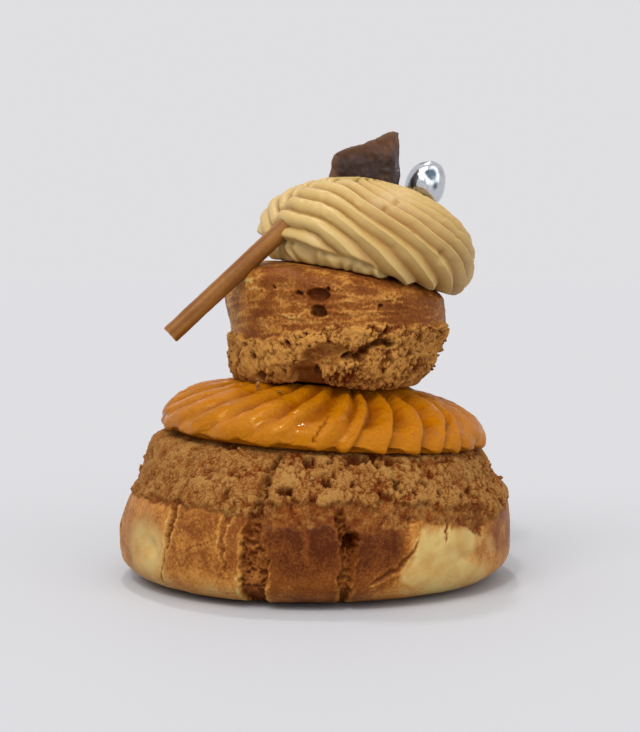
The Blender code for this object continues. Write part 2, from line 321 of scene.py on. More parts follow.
def stations_of(outline, count, detail):
    """The outline walked in count steps. They are short where detail(part, radius, height) is high."""
    count = round(DETAIL * count)
    walked = [0.0]
    weighed = [0.0]
    for before, after in zip(outline, outline[1:]):
        step = math.hypot(after[1] - before[1], after[2] - before[2])
        walked.append(walked[-1] + step)
        weighed.append(weighed[-1] + step * detail(*after))
    stations = []
    segment = 1
    for number in range(count + 1):
        target = weighed[-1] * number / count
        while segment < len(outline) - 1 and weighed[segment] < target:
            segment += 1
        before, after = outline[segment - 1], outline[segment]
        span = weighed[segment] - weighed[segment - 1]
        share = (target - weighed[segment - 1]) / span if span else 0.0
        radius = mix(before[1], after[1], share)
        height = mix(before[2], after[2], share)
        earlier = outline[max(segment - 2, 0)]
        later = outline[min(segment + 1, len(outline) - 1)]
        tangent = Vector((later[1] - earlier[1], later[2] - earlier[2])).normalized()
        way = mix(walked[segment - 1], walked[segment], share)
        stations.append(Station(after[0], radius, height, way, -tangent.y, tangent.x))
    return stations


# Building and handing over.


def look():
    return bpy.context.scene.pastry_look


def object_of(name, bm):
    bmesh.ops.recalc_face_normals(bm, faces=bm.faces)
    if bm.calc_volume(signed=True) < 0.0:
        bmesh.ops.reverse_faces(bm, faces=bm.faces)
    mesh = bpy.data.meshes.new(name)
    bm.to_mesh(mesh)
    bm.free()
    mesh.shade_smooth()
    obj = bpy.data.objects.new(name, mesh)
    bpy.context.scene.collection.objects.link(obj)
    return obj


def grown(name, stations, steps, shape, marks):
    """A closed skin: a grid rolled round the axis, whose rows become the stations. Its seam and its two
    ends are merged. shape(station, start) gives each point's place and then its marks, which are the
    values that the finish reads."""
    bm = bmesh.new()
    rows = len(stations) - 1
    bmesh.ops.create_grid(bm, x_segments=steps, y_segments=rows, size=1.0)
    layers = [bm.verts.layers.float.new(mark) for mark in marks]
    for vert in bm.verts:
        row = round(0.5 * (1.0 - vert.co.y) * rows)
        start = math.pi * round(vert.co.x * steps) / steps
        vert.co, *values = shape(stations[row], start)
        for layer, value in zip(layers, values):
            vert[layer] = value
    bmesh.ops.remove_doubles(bm, verts=bm.verts, dist=0.001 * MM)
    return object_of(name, bm)


def hand_over(obj, material, node=None):
    """Gives a piece its finish and ties it to the frame."""
    obj.data.materials.append(material)
    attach(obj, "root")
    if node:
        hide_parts(node)


def denser_in_front(start):
    """An angle in degrees, from -270 to 90, with more of them towards the front."""
    angle = math.degrees(start - 0.4 * math.sin(start - math.radians(FRONT)))
    return (angle + 270.0) % 360.0 - 270.0


# Finishes.


class Finish:
    """A material, put together node by node."""

    def __init__(self, name, roughness, **sockets):
        self.material = bpy.data.materials.new(name)
        self.material.use_nodes = True
        self.nodes = self.material.node_tree.nodes
        self.shader = self.nodes["Principled BSDF"]
        self.set("Roughness", roughness)
        for socket, value in sockets.items():
            self.set(socket.replace("_", " "), value)
        self.place = self.nodes.new("ShaderNodeTexCoord").outputs["Object"]

    def put(self, socket, value):
        """Links a socket to another node's output, or sets it to a number or colour."""
        if isinstance(value, bpy.types.NodeSocket):
            self.material.node_tree.links.new(value, socket)
        elif hasattr(value, "__len__"):
            socket.default_value = (*value, 1.0)[: len(socket.default_value)]
        else:
            socket.default_value = value

    def set(self, name, value):
        self.put(self.shader.inputs[name], value)

    def mark(self, name):
        node = self.nodes.new("ShaderNodeAttribute")
        node.attribute_name = name
        return node.outputs["Fac"]

    def grain(self, size, detail=2.0, roughness=0.5, place=None):
        """Cloudy noise from 0 to 1 with patches of this size."""
        node = self.nodes.new("ShaderNodeTexNoise")
        self.put(node.inputs["Vector"], place or self.place)
        self.put(node.inputs["Scale"], 1.0 / size)
        self.put(node.inputs["Detail"], detail)
        self.put(node.inputs["Roughness"], roughness)
        return node.outputs["Fac"]

    def cells(self, size):
        """0 in the middle of each cell of this size, rising to its borders."""
        node = self.nodes.new("ShaderNodeTexVoronoi")
        self.put(node.inputs["Vector"], self.place)
        self.put(node.inputs["Scale"], 1.0 / size)
        return node.outputs["Distance"]

    def sum(self, operation, first, second, clamp=False):
        node = self.nodes.new("ShaderNodeMath")
        node.operation = operation
        node.use_clamp = clamp
        self.put(node.inputs[0], first)
        self.put(node.inputs[1], second)
        return node.outputs[0]

    def spread(self, value, low, high, to_low=0.0, to_high=1.0):
        """The value with low to high stretched out over another range."""
        node = self.nodes.new("ShaderNodeMapRange")
        self.put(node.inputs["Value"], value)
        for name, number in zip(("From Min", "From Max", "To Min", "To Max"), (low, high, to_low, to_high)):
            self.put(node.inputs[name], number)
        return node.outputs["Result"]

    def ramp(self, value, stops):
        """Colours from (position, colour) stops."""
        node = self.nodes.new("ShaderNodeValToRGB")
        elements = node.color_ramp.elements
        while len(elements) < len(stops):
            elements.new(0.5)
        for element, (position, colour) in zip(elements, stops):
            element.position = position
            element.color = (*colour, 1.0)
        self.put(node.inputs["Fac"], value)
        return node.outputs["Color"]

    def blend(self, share, first, second, kind="MIX"):
        node = self.nodes.new("ShaderNodeMix")
        node.data_type = "RGBA"
        node.blend_type = kind
        self.put(node.inputs["Factor"], share)
        self.put(node.inputs[6], first)
        self.put(node.inputs[7], second)
        return node.outputs[2]

    def relief(self, height, distance, strength=1.0):
        """Fine bumps, this deep, on top of the modelled shape and of any relief given before."""
        node = self.nodes.new("ShaderNodeBump")
        normal = self.shader.inputs["Normal"]
        if normal.is_linked:
            self.put(node.inputs["Normal"], normal.links[0].from_socket)
        self.put(node.inputs["Height"], height)
        self.put(node.inputs["Distance"], distance)
        self.put(node.inputs["Strength"], strength)
        self.put(normal, node.outputs["Normal"])


def baked_finish(name, crumb_tops):
    """Choux skin, from pale dough to dark brown, and the biscuit crumb of the cap.

    Marks: crumb is the share of cap, lump the height in it, toast how well baked the skin is, pale the
    share of raw-looking dough, and hollow how deep in a crack or hole the place is. Hollow paints shade
    into cracks, holes and pits; the crumb is painted darker down in its clefts and pits and lighter on
    its tops."""
    colours = look().baked
    finish = Finish(name, 0.55, Specular_IOR_Level=0.12, Subsurface_Weight=0.12)
    finish.set("Specular Tint", (1.0, 0.8, 0.55))
    finish.set("Subsurface Radius", (1.0, 0.45, 0.2))
    finish.set("Subsurface Scale", 0.0008)
    cloud = finish.grain(5.0 * MM, 4.0, 0.6)
    speckle = finish.grain(0.5 * MM, 3.0, 0.7)

    toast = finish.sum("ADD", finish.mark("toast"), finish.spread(cloud, 0.3, 0.7, -0.16, 0.16))
    toast = finish.sum("ADD", toast, finish.spread(speckle, 0.3, 0.7, -0.16, 0.16))
    skin = finish.ramp(
        toast,
        (
            (0.05, colours.dough),
            (0.35, colours.golden),
            (0.62, colours.brown),
            (1.0, colours.dark),
        ),
    )
    pale = finish.sum("ADD", finish.mark("pale"), finish.spread(speckle, 0.3, 0.7, -0.12, 0.12))
    pale = finish.sum("MULTIPLY", pale, finish.spread(finish.mark("pale"), 0.0, 0.2), clamp=True)
    skin = finish.blend(pale, skin, colours.dough)

    grit = finish.grain(0.32 * MM, 3.0, 0.65)
    lump = finish.sum("ADD", finish.mark("lump"), finish.spread(grit, 0.3, 0.7, -0.38, 0.38))
    lump = finish.sum("ADD", lump, finish.spread(cloud, 0.3, 0.7, -0.08, 0.08))
    # the crumb's tone follows the lump mark: painted shade in the clefts and pits, painted light on the tops, with
    # random grit over the crumb's own colour
    crumb = finish.ramp(
        lump,
        ((0.15, colours.crumb_cleft_shade), (0.52, colours.crumb), (0.95, crumb_tops)),
    )
    base = finish.blend(finish.mark("crumb"), skin, crumb)
    # painted shade: the hollow mark darkens cracks, holes, pits and pores
    inside = finish.blend(0.87, base, colours.hollow)
    base = finish.blend(finish.mark("hollow"), base, inside)
    finish.set("Base Color", base)
    finish.set("Roughness", finish.spread(finish.mark("crumb"), 0.0, 1.0, 0.46, 0.8))
    finish.relief(finish.grain(0.9 * MM, 3.0, 0.6), 0.12 * MM, 0.8)
    gritty = finish.spread(finish.mark("crumb"), 0.0, 1.0, 0.3, 1.0)
    finish.relief(finish.sum("MULTIPLY", grit, gritty), 0.22 * MM)
    return finish.material


def caramel_finish():
    """Caramel cream. Marks: fold is the height on a fold, 0 in the valleys, torn the share of a tear, and
    wet the share of the smooth places that shine. The colour darkens towards the valleys and in the tear
    as painted shade."""
    colours = look().collar
    finish = Finish("caramel cream", 0.35, Specular_IOR_Level=0.28, Subsurface_Weight=0.3)
    finish.set("Specular Tint", (1.0, 0.82, 0.34))
    finish.set("Subsurface Radius", (1.0, 0.45, 0.1))
    finish.set("Subsurface Scale", 0.0012)
    cloud = finish.grain(4.0 * MM, 3.0)
    fine = finish.grain(0.45 * MM, 3.0, 0.7)
    # painted shade: the caramel darkens towards the valleys and in the tear
    fold = finish.sum("ADD", finish.mark("fold"), finish.spread(cloud, 0.3, 0.7, -0.2, 0.2))
    fold = finish.sum("SUBTRACT", fold, finish.mark("torn"))
    base = finish.ramp(fold, ((0.0, colours.caramel_valley_shade), (0.7, colours.caramel)))
    finish.set("Base Color", base)
    patches = finish.grain(1.6 * MM, 4.0, 0.7)
    dry = finish.sum("SUBTRACT", finish.spread(patches, 0.4, 0.6, 0.5, 1.2), finish.mark("wet"), clamp=True)
    finish.set("Roughness", finish.spread(dry, 0.0, 1.0, 0.1, 0.44))
    finish.relief(finish.sum("MULTIPLY", fine, dry), 0.26 * MM)
    return finish.material


def cream_finish():
    """Coffee buttercream. Marks: ridge is the height on a ridge, 0 in the grooves. The colour is painted shade, darker
    towards the grooves and in the pits.
    """
    colours = look().rosette
    finish = Finish("coffee cream", 0.42, Specular_IOR_Level=0.4, Subsurface_Weight=0.3)
    finish.set("Subsurface Radius", (1.0, 0.7, 0.4))
    finish.set("Subsurface Scale", 0.0014)
    cloud = finish.grain(6.0 * MM, 2.0)
    # painted shade towards the grooves and pits, so the ridges read as lit
    ridge = finish.sum("ADD", finish.mark("ridge"), finish.spread(cloud, 0.3, 0.7, -0.12, 0.12))
    finish.set("Base Color", finish.ramp(ridge, ((0.0, colours.cream_groove_shade), (0.7, colours.cream))))
    finish.relief(finish.grain(0.5 * MM, 3.0, 0.6), 0.05 * MM)
    return finish.material


def stick_finish():
    """Milk chocolate. Marks: streak is the share of the paler streaks along it, end its rough, broken end."""
    colours = look().toppings
    finish = Finish("milk chocolate stick", 0.42, Specular_IOR_Level=0.3)
    finish.set("Specular Tint", (1.0, 0.85, 0.6))
    share = finish.sum("ADD", finish.mark("streak"), finish.spread(finish.grain(0.6 * MM), 0.3, 0.7, -0.1, 0.1))
    share = finish.sum("ADD", share, finish.mark("end"), clamp=True)
    finish.set("Base Color", finish.blend(share, colours.stick, colours.stick_edge))
    finish.relief(finish.grain(0.4 * MM, 3.0, 0.6), 0.06 * MM)
    return finish.material


def shard_finish():
    """Dark chocolate under cocoa dust."""
    colours = look().toppings
    finish = Finish("dark chocolate shard", 0.5, Specular_IOR_Level=0.4)
    dust = finish.grain(1.8 * MM, 5.0, 0.7)
    share = finish.sum("ADD", finish.spread(dust, 0.5, 0.8, 0.0, 0.4), finish.mark("dust"), clamp=True)
    finish.set("Base Color", finish.blend(share, colours.shard, colours.shard_dust))
    finish.set("Roughness", finish.spread(share, 0.0, 1.0, 0.4, 0.85))
    finish.relief(finish.grain(0.35 * MM, 4.0, 0.7), 0.1 * MM)
    return finish.material


def silver_finish():
    """Silver leaf on a sugared almond, darker in its dimples as painted shade and a painted dark reflection. Mark:
    dimple.
    """
    colours = look().toppings
    finish = Finish("silvered sugar", 0.18, Metallic=1.0)
    # painted shade and a painted dark reflection in the dimples and in random patches
    share = finish.sum("ADD", finish.mark("dimple"), finish.spread(finish.grain(1.2 * MM), 0.4, 0.7, -0.1, 0.25), clamp=True)
    finish.set("Base Color", finish.blend(share, colours.silver, colours.silver_shade_and_reflection))
    finish.relief(finish.grain(0.7 * MM, 2.0), 0.05 * MM)
    return finish.material


def floor_finish():
    """Plain matt card with a very faint tooth."""
    colours = look().stage
    finish = Finish("pale floor", 0.7, Specular_IOR_Level=0.2)
    tooth = finish.grain(0.9 * MM, 2.0)
    shade = finish.blend(finish.spread(tooth, 0.3, 0.7, 0.0, 0.03), colours.floor, (0.3, 0.3, 0.3))
    finish.set("Base Color", shade)
    return finish.material


# Cracks and holes.


def by_degree(cracks, arc_length):
    """For each whole degree round a wall, the cracks that come within a few millimetres."""
    table = {}
    for degree in range(-275, 96):
        table[degree] = []
        for crack in cracks:
            middle = crack.course[len(crack.course) // 2][0]
            if abs(away(degree, middle)) * arc_length < 9.0:
                table[degree].append(crack)
    return table


def crack_here(cracks, angle, height, arc_length):
    """(how open, how deep, how lacy, how near) of the cracks at this place of a wall. An angle's degree is
    arc_length millimetres long, and near falls from 1 at a crack's lip to 0 a little way off."""
    best = (0.0, 0.0, 0.0, 0.0)
    for crack in cracks[round(angle)]:
        nearest = (99.0, 0.0)
        for (angle_0, height_0, half_0), (angle_1, height_1, half_1) in zip(crack.course, crack.course[1:]):
            run = away(angle_1, angle_0) * arc_length
            rise = height_1 - height_0
            across = away(angle, angle_0) * arc_length
            up = height - height_0
            share = min(max((across * run + up * rise) / (run * run + rise * rise), 0.0), 1.0)
            distance = math.hypot(across - share * run, up - share * rise)
            half = mix(half_0, half_1, share)
            nearest = min(nearest, (distance - half, half))
        beyond, half = nearest
        soft = min(0.22, half + 0.05)
        opened = 1.0 - ease(-soft, soft, beyond)
        near = hump(beyond - 0.25, 0.7) * min(1.0, 0.3 + half)
        if max(opened, near) > max(best[0], best[3]):
            best = (opened, crack.depth * min(1.0, 0.35 + half), crack.lace, near)
    return best


def hollow_here(hollows, angle, height, arc_length):
    """(how open, how deep) of the holes at this place of a wall; where two meet, the deeper one counts."""
    best = (0.0, 0.0)
    for hole in hollows:
        across = away(angle, hole.angle) * arc_length / hole.half_width
        up = (height - hole.height) / hole.half_height
        opened = 1.0 - ease(0.84, 1.1, math.hypot(across, up))
        if opened * hole.depth > best[0] * best[1]:
            best = (opened, hole.depth)
    return best


def wandering_crack(angle, seed):
    """A crack down the side that isn't seen from the front."""
    chance = random.Random(seed)
    wide = chance.uniform(0.3, 1.9)
    course = []
    for height in (18.0, 15.0, 11.0, 7.0, 3.0, 0.0):
        course.append((angle, height, wide * chance.uniform(0.4, 1.1)))
        angle += chance.uniform(-2.5, 2.5)
    return Crack(tuple(course), chance.uniform(1.2, 2.2), chance.choice((0.0, 0.5, 1.0)))


# Large bun.

LARGE_ARC = math.radians(LARGE_RADIUS / MM)  # millimetres in a degree of its wall

CAP_EDGE = (
    (-270.0, 17.5),
    (-200.0, 18.5),
    (-154.0, 18.0),
    (-146.0, 19.2),
    (-129.0, 18.2),
    (-107.0, 17.2),
    (-103.0, 19.5),
    (-65.0, 19.2),
    (-50.0, 17.8),
    (-37.0, 16.8),
    (-28.0, 14.5),
    (0.0, 17.0),
    (60.0, 18.8),
)
BAND_EDGE = (
    (-270.0, 17.5),
    (-154.0, 18.0),
    (-107.0, 17.4),
    (-103.0, 16.0),
    (-80.0, 14.8),
    (-60.0, 15.2),
    (-48.0, 14.0),
    (-38.0, 12.5),
    (-25.0, 14.5),
    (0.0, 16.0),
    (60.0, 18.6),
)
TOASTED = (
    (-270.0, 0.6),
    (-210.0, 0.7),
    (-152.0, 0.48),
    (-136.0, 0.36),
    (-132.0, 0.54),
    (-110.0, 0.56),
    (-106.0, 0.88),
    (-93.0, 1.0),
    (-82.0, 1.0),
    (-68.0, 0.88),
    (-63.0, 0.4),
    (-44.0, 0.4),
    (-39.0, 0.55),
    (-10.0, 0.55),
    (30.0, 0.75),
)
LARGE_CRACKS = (
    Crack(
        (
            (-130.5, 23.5, 0.15),
            (-131.5, 21.0, 0.3),
            (-132.5, 17.0, 0.75),
            (-133.4, 13.4, 0.75),
            (-135.0, 8.0, 0.2),
            (-138.0, 3.0, 0.15),
            (-139.0, 0.0, 0.1),
        ),
        1.7,
        0.25,
    ),
    Crack(((-112.0, 18.5, 0.5), (-115.0, 15.5, 0.7), (-115.5, 12.0, 0.45), (-114.0, 7.3, 0.15)), 0.9, 0.7),
    Crack(
        (
            (-101.5, 27.0, 0.6),
            (-104.0, 24.0, 0.8),
            (-105.0, 20.0, 0.9),
            (-106.0, 17.0, 1.2),
            (-107.0, 13.0, 1.9),
            (-106.2, 9.0, 2.5),
            (-106.6, 5.0, 2.5),
            (-107.6, 0.5, 2.3),
        ),
        1.9,
        1.0,
    ),
    Crack(
        (
            (-83.0, 17.5, 0.7),
            (-82.0, 14.5, 1.1),
            (-80.8, 12.5, 1.3),
            (-81.5, 9.0, 1.1),
            (-82.0, 5.0, 1.1),
            (-81.5, 0.0, 1.0),
        ),
        2.0,
        0.8,
    ),
    Crack(
        (
            (-61.5, 12.2, 0.1),
            (-63.0, 10.4, 0.2),
            (-64.5, 9.5, 0.35),
            (-66.0, 8.8, 0.45),
            (-67.0, 7.5, 0.3),
            (-70.0, 7.0, 0.45),
            (-72.0, 6.2, 0.25),
            (-73.0, 5.9, 0.4),
            (-75.0, 5.0, 0.15),
        ),
        1.5,
        0.3,
    ),
    Crack(((-128.0, 9.2, 0.05), (-125.0, 10.8, 0.08), (-122.0, 11.4, 0.08), (-117.5, 12.6, 0.05)), 0.35, 0.0),
    Crack(((-84.0, 9.4, 0.05), (-81.0, 9.9, 0.1), (-77.5, 10.0, 0.12), (-76.0, 10.8, 0.05)), 0.35, 0.0),
    Crack(((-92.5, 15.5, 0.5), (-92.3, 12.0, 0.3), (-92.0, 9.5, 0.1)), 0.5, 0.4),
    Crack(((-68.0, 17.8, 0.1), (-65.0, 16.6, 0.25), (-62.0, 15.4, 0.1)), 0.8, 0.0),
    Crack(((-38.5, 20.0, 0.2), (-37.0, 16.0, 0.45), (-37.0, 11.5, 0.25)), 0.9, 0.2),
    Crack(((-51.0, 15.0, 0.2), (-52.0, 13.2, 0.4), (-52.0, 12.0, 0.15)), 0.8, 0.0),
    Crack(((-46.5, 15.2, 0.1), (-43.5, 15.0, 0.3), (-40.5, 15.0, 0.1)), 0.8, 0.0),
)
LARGE_HOLLOWS = (
    Hollow(-80.3, 12.9, 1.25, 1.7, 3.0),
    Hollow(-92.0, 26.1, 1.3, 0.8, 2.2),
    Hollow(-76.0, 26.5, 2.8, 0.9, 2.4),
    Hollow(-86.5, 22.5, 1.2, 0.6, 1.8),
    Hollow(-65.5, 22.0, 0.6, 0.8, 1.8),
    Hollow(-98.5, 21.2, 1.8, 0.7, 1.6),
    Hollow(-120.5, 28.2, 1.3, 0.7, 2.0),
    Hollow(-70.5, 27.5, 1.5, 0.6, 1.6),
)


PALE_EDGE = (
    (0.0, -56.0),
    (3.0, -62.0),
    (5.5, -67.0),
    (7.5, -67.0),
    (9.5, -64.0),
    (12.0, -62.0),
    (15.2, -60.0),
)


def pale_dough(place, angle, height):
    """Share of the two places where the dough burst through late and stayed pale."""
    stray = 1.7 * waves(place, 4.5 * MM, 34.0) + 0.8 * waves(place, 1.4 * MM, 35.0)
    left_edge = along(PALE_EDGE, min(max(height, 0.0), 15.2))
    inside = min(
        away(angle, left_edge) * LARGE_ARC / mix(2.6, 1.1, ease(3.0, 9.0, height)),
        away(-31.0, angle) * LARGE_ARC / 8.0,
        (15.2 - height) / 2.6,
        (height + 0.5) / 8.0,
    )
    right = ease(-0.1, 1.0, inside + 0.35 * stray)
    right *= 1.0 - 0.45 * hump(math.hypot(away(angle, -46.0) * LARGE_ARC, height - 10.5), 3.5)
    across = away(angle, -142.5) * LARGE_ARC
    reach = math.hypot(across / (13.0 if across < 0.0 else 7.0), (height - 8.6) / 8.0)
    left = 0.95 * (1.0 - ease(0.2, 1.05, reach + 0.1 * stray))
    mottled = 0.55 + 0.45 * ease(-0.4, 0.25, waves(place, 3.2 * MM, 36.0))
    return max(left, right) * mottled


def web(place, size, seed):
    """Thin walls between torn bubbles: 1 on the walls, 0 inside the bubbles."""
    spot = Vector((place.x, place.y, 1.7 * place.z)) / size + 0.8 * noise.noise_vector(place / (0.8 * size))
    gaps = noise.voronoi(spot + Vector((seed, seed, seed)))[0]
    return 1.0 - ease(0.02, 0.42, gaps[1] - gaps[0])


def large_bun_point(station, start, cracks):
    """Crumbly cap with a ragged lip, a porous toasted band under it and split, shiny skin below."""
    sizes = look().baked
    angle = denser_in_front(start)
    turn = math.radians(angle)
    place = Vector((station.radius * math.cos(turn), station.radius * math.sin(turn), station.height))
    from_collar = math.hypot(place.x - COLLAR_X, place.y)
    shown = ease(29.4 * MM, 31.4 * MM, from_collar) * ease(0.1 * MM, 1.5 * MM, station.height)
    if station.part == "base" or shown == 0.0:
        return place, 0.0, 0.5, 0.5, 0.0, 0.0
    level = station.height / MM
    smoother = ease(-102.0, -122.0, angle) if angle > -200.0 else 0.5
    ragged = 1.3 * waves(place, 2.8 * MM, 3.0) + 0.7 * waves(place, 1.0 * MM, 8.0)
    cap = ease(-0.25, 0.25, level - along(CAP_EDGE, angle) + ragged)
    band = (1.0 - cap) * ease(-0.4, 0.4, level - along(BAND_EDGE, angle) + 0.8 * ragged)

    jag = 0.5 * waves(place, 1.5 * MM, 12.0) + 0.35 * waves(place, 0.55 * MM, 15.0)
    opened, depth, lace, near = crack_here(
        cracks, angle + 1.35 * jag / LARGE_ARC, level + 0.8 * jag, LARGE_ARC
    )
    holed, hole_depth = hollow_here(LARGE_HOLLOWS, angle + 1.4 * jag / LARGE_ARC, level + jag, LARGE_ARC)

    lump = 0.55
    if cap + band + opened * lace > 0.0:
        lump = mix(crumbs(place, sizes.crumb_size, 2.0), 0.62, 0.35 * smoother)
    pit = cap * (1.0 - 0.6 * smoother) * ease(0.36, 0.52, waves(place, 1.9 * MM, 21.0))
    pores = band * ease(0.1, 0.38, waves(place, 0.5 * MM, 25.0))
    bubbles = lace * (1.0 - web(place, 1.9 * MM, 17.0)) if opened * lace > 0.0 else 0.0

    out = 0.35 * waves(place, 13.0 * MM, 3.0) + 0.12 * waves(place, 4.0 * MM, 5.0)
    out -= 1.1 * hump(away(angle, 180.0), 50.0) * hump(level - 17.5, 8.0)
    out += 1.3 * hump(away(angle, 180.0), 75.0) * hump(station.radius / MM - 31.0, 3.2)
    out -= 1.1 * ease(0.55, 0.9, abs(math.cos(turn))) * hump(level - 21.0, 5.0)
    out += cap * (0.55 + sizes.crumb_depth / MM * 2.0 * (lump - 0.6))
    out -= band * (0.55 - 0.45 * lump) + 0.3 * pores
    out -= pit * sizes.pit_depth / MM
    skin = (1.0 - cap) * (1.0 - band)
    out += 0.1 * near * (1.0 - opened) * skin
    out -= opened * depth * (0.55 + 0.5 * bubbles)
    out -= holed * hole_depth
    pale = skin * pale_dough(place, angle, level)
    dimples = ease(0.1, 0.6, waves(place, 3.4 * MM, 31.0))
    pulled = waves(Vector((place.x, place.y, 0.3 * place.z)), 1.4 * MM, 37.0)
    out -= pale * (0.45 * dimples - 0.12 * pulled)
    out -= 0.9 * hump(math.hypot(away(angle, -141.5) * LARGE_ARC, level - 9.6), 2.6)

    toast = along(TOASTED, angle) * mix(0.66, 1.0, ease(1.0, 12.0, level))
    toast *= 1.0 - 0.5 * hump(away(angle, -50.0), 34.0) * (1.0 - ease(2.0, 9.0, level))
    toast += 0.1 * waves(place, 6.0 * MM, 33.0) - 0.26 * near * skin
    toast = mix(toast, 0.6, opened)
    toast = mix(toast, 0.72 - 0.4 * waves(place, 1.5 * MM, 71.0), band)
    # hollow is painted shade in the cracks, holes, pits and pores
    hollow = min(1.0, (0.22 + 0.55 * bubbles) * opened + 0.9 * holed + 0.85 * pit + 0.5 * pores)
    hollow = max(hollow, opened * (1.0 - lace) * 0.8)
    crumb = max(cap, 0.6 * band)
    reach = shown * out * MM
    radius = station.radius + reach * station.out_r
    place = Vector((radius * math.cos(turn), radius * math.sin(turn), station.height + reach * station.out_z))
    grains = mix(0.12, 0.36, ease(-84.0, -72.0, angle)) + 0.45 * lump + 0.55 * waves(place, 1.1 * MM, 72.0)
    # painted shade: the crumb is darker in the pits
    shade = mix(lump, grains, band) - 0.15 * pit
    return place, crumb, shade, toast, pale * (1.0 - opened) * (1.0 - 0.3 * dimples), hollow


def large_bun_stations():
    outline = arc("top", LARGE_RADIUS, LARGE_WIDEST, LARGE_RISE, LARGE_POWER_UP, 200)
    for number in range(1, 61):
        share = LARGE_WIDEST / LARGE_DEPTH * number / 60.0
        radius = LARGE_RADIUS * quarter(share, LARGE_POWER_DOWN)
        outline.append(("side", radius, LARGE_WIDEST - LARGE_DEPTH * share))
    for share in (0.8, 0.4, 0.0):
        outline.append(("base", share * outline[-1][1] if share else 0.0, 0.0))
    return stations_of(outline, 136, large_bun_detail)


def large_bun_detail(part, radius, height):
    return 1.0 if radius > 29.0 * MM and part != "base" else 0.12


# Caramel collar.

COLLAR_UNDER = 31.4 * MM
COLLAR_TOP_ARC = arc("top", COLLAR_RADIUS, COLLAR_BASE, COLLAR_RISE, COLLAR_POWER, 160)
COLLAR_EDGE = sum(
    math.hypot(after[1] - before[1], after[2] - before[2])
    for before, after in zip(COLLAR_TOP_ARC, COLLAR_TOP_ARC[1:])
)

FoldLine = namedtuple("FoldLine", "rim near middle top depth crest")

# The valleys between the folds, round from the left. Their angles are those at the rim and 3, 8 and 16
# millimetres up from it; depth and crest belong to the fold that follows.
FRONT_VALLEYS = (
    FoldLine(-170.5, -157.0, -147.5, -143.5, 0.8, 0.5),
    FoldLine(-153.0, -142.0, -133.5, -128.5, 0.9, 0.5),
    FoldLine(-135.5, -127.0, -118.5, -112.0, 1.0, 0.45),
    FoldLine(-118.5, -112.0, -104.5, -97.0, 1.0, 0.55),
    FoldLine(-104.0, -99.5, -93.5, -86.0, 0.9, 0.7),
    FoldLine(-86.5, -83.0, -79.0, -72.5, 0.5, 0.6),
    FoldLine(-81.5, -77.5, -73.0, -67.0, 1.4, 0.88),
    FoldLine(-68.5, -65.0, -61.5, -55.0, 1.3, 0.88),
    FoldLine(-56.5, -54.0, -50.0, -43.5, 1.5, 0.9),
    FoldLine(-47.0, -42.5, -35.5, -24.5, 1.3, 0.88),
    FoldLine(-37.5, -34.5, -28.0, -18.0, 1.0, 0.85),
    FoldLine(-25.5, -22.0, -15.5, -6.0, 1.0, 0.85),
    FoldLine(-13.0, -9.5, -3.0, 6.5, 1.0, 0.85),
)
BACK_FOLDS = 17
TEAR = ((0.4, -93.6), (1.6, -92.6), (2.4, -91.6), (3.6, -91.0), (5.2, -89.0), (7.4, -87.2))


def all_valleys():
    """The front's valleys, then the ones between them round the back."""
    first, last = FRONT_VALLEYS[0], FRONT_VALLEYS[-1]
    chance = random.Random(4)
    valleys = list(FRONT_VALLEYS)
    for number in range(1, BACK_FOLDS):
        share = number / BACK_FOLDS
        stray = chance.uniform(-1.5, 1.5)
        angles = [mix(here, there + 360.0, share) + stray for here, there in zip(last[:4], first[:4])]
        valleys.append(FoldLine(*angles, chance.uniform(0.7, 1.1), mix(0.85, 0.55, share)))
    return valleys


def valleys_up(valleys, up):
    """(angle, depth, crest) of each valley, this many millimetres up from the rim."""
    points = []
    for valley in valleys:
        steps = (
            (0.0, valley.rim),
            (3.0, valley.near),
            (8.0, valley.middle),
            (16.0, valley.top),
            (60.0, valley.top + 30.0),
        )
        angle = sum(along(steps, max(up + shift, 0.0)) for shift in (-1.5, 0.0, 1.5)) / 3.0
        points.append((angle, valley.depth, valley.crest))
    return points


def fold_here(points, angle):
    """(the fold's number, share of the way across it, its depth, its crest) at this angle."""
    turned = (angle - points[0][0]) % 360.0 + points[0][0]
    for number, (valley, depth, crest) in enumerate(points):
        following = points[number + 1][0] if number + 1 < len(points) else points[0][0] + 360.0
        if turned < following:
            return number, (turned - valley) / (following - valley), depth, crest
    return 0, 0.0, points[0][1], points[0][2]


def fold_height(share, crest):
    """Across a fold: a hollow valley, a swelling face, and a crest or a lip that drops to the next valley."""
    rise = ease(0.0, crest, share)
    fall = min(1.0, (1.0 - share) / (1.0 - crest))
    round_fall = fall * fall * (3.0 - 2.0 * fall)
    return rise * mix(round_fall, fall**1.4, ease(0.6, 0.8, crest))


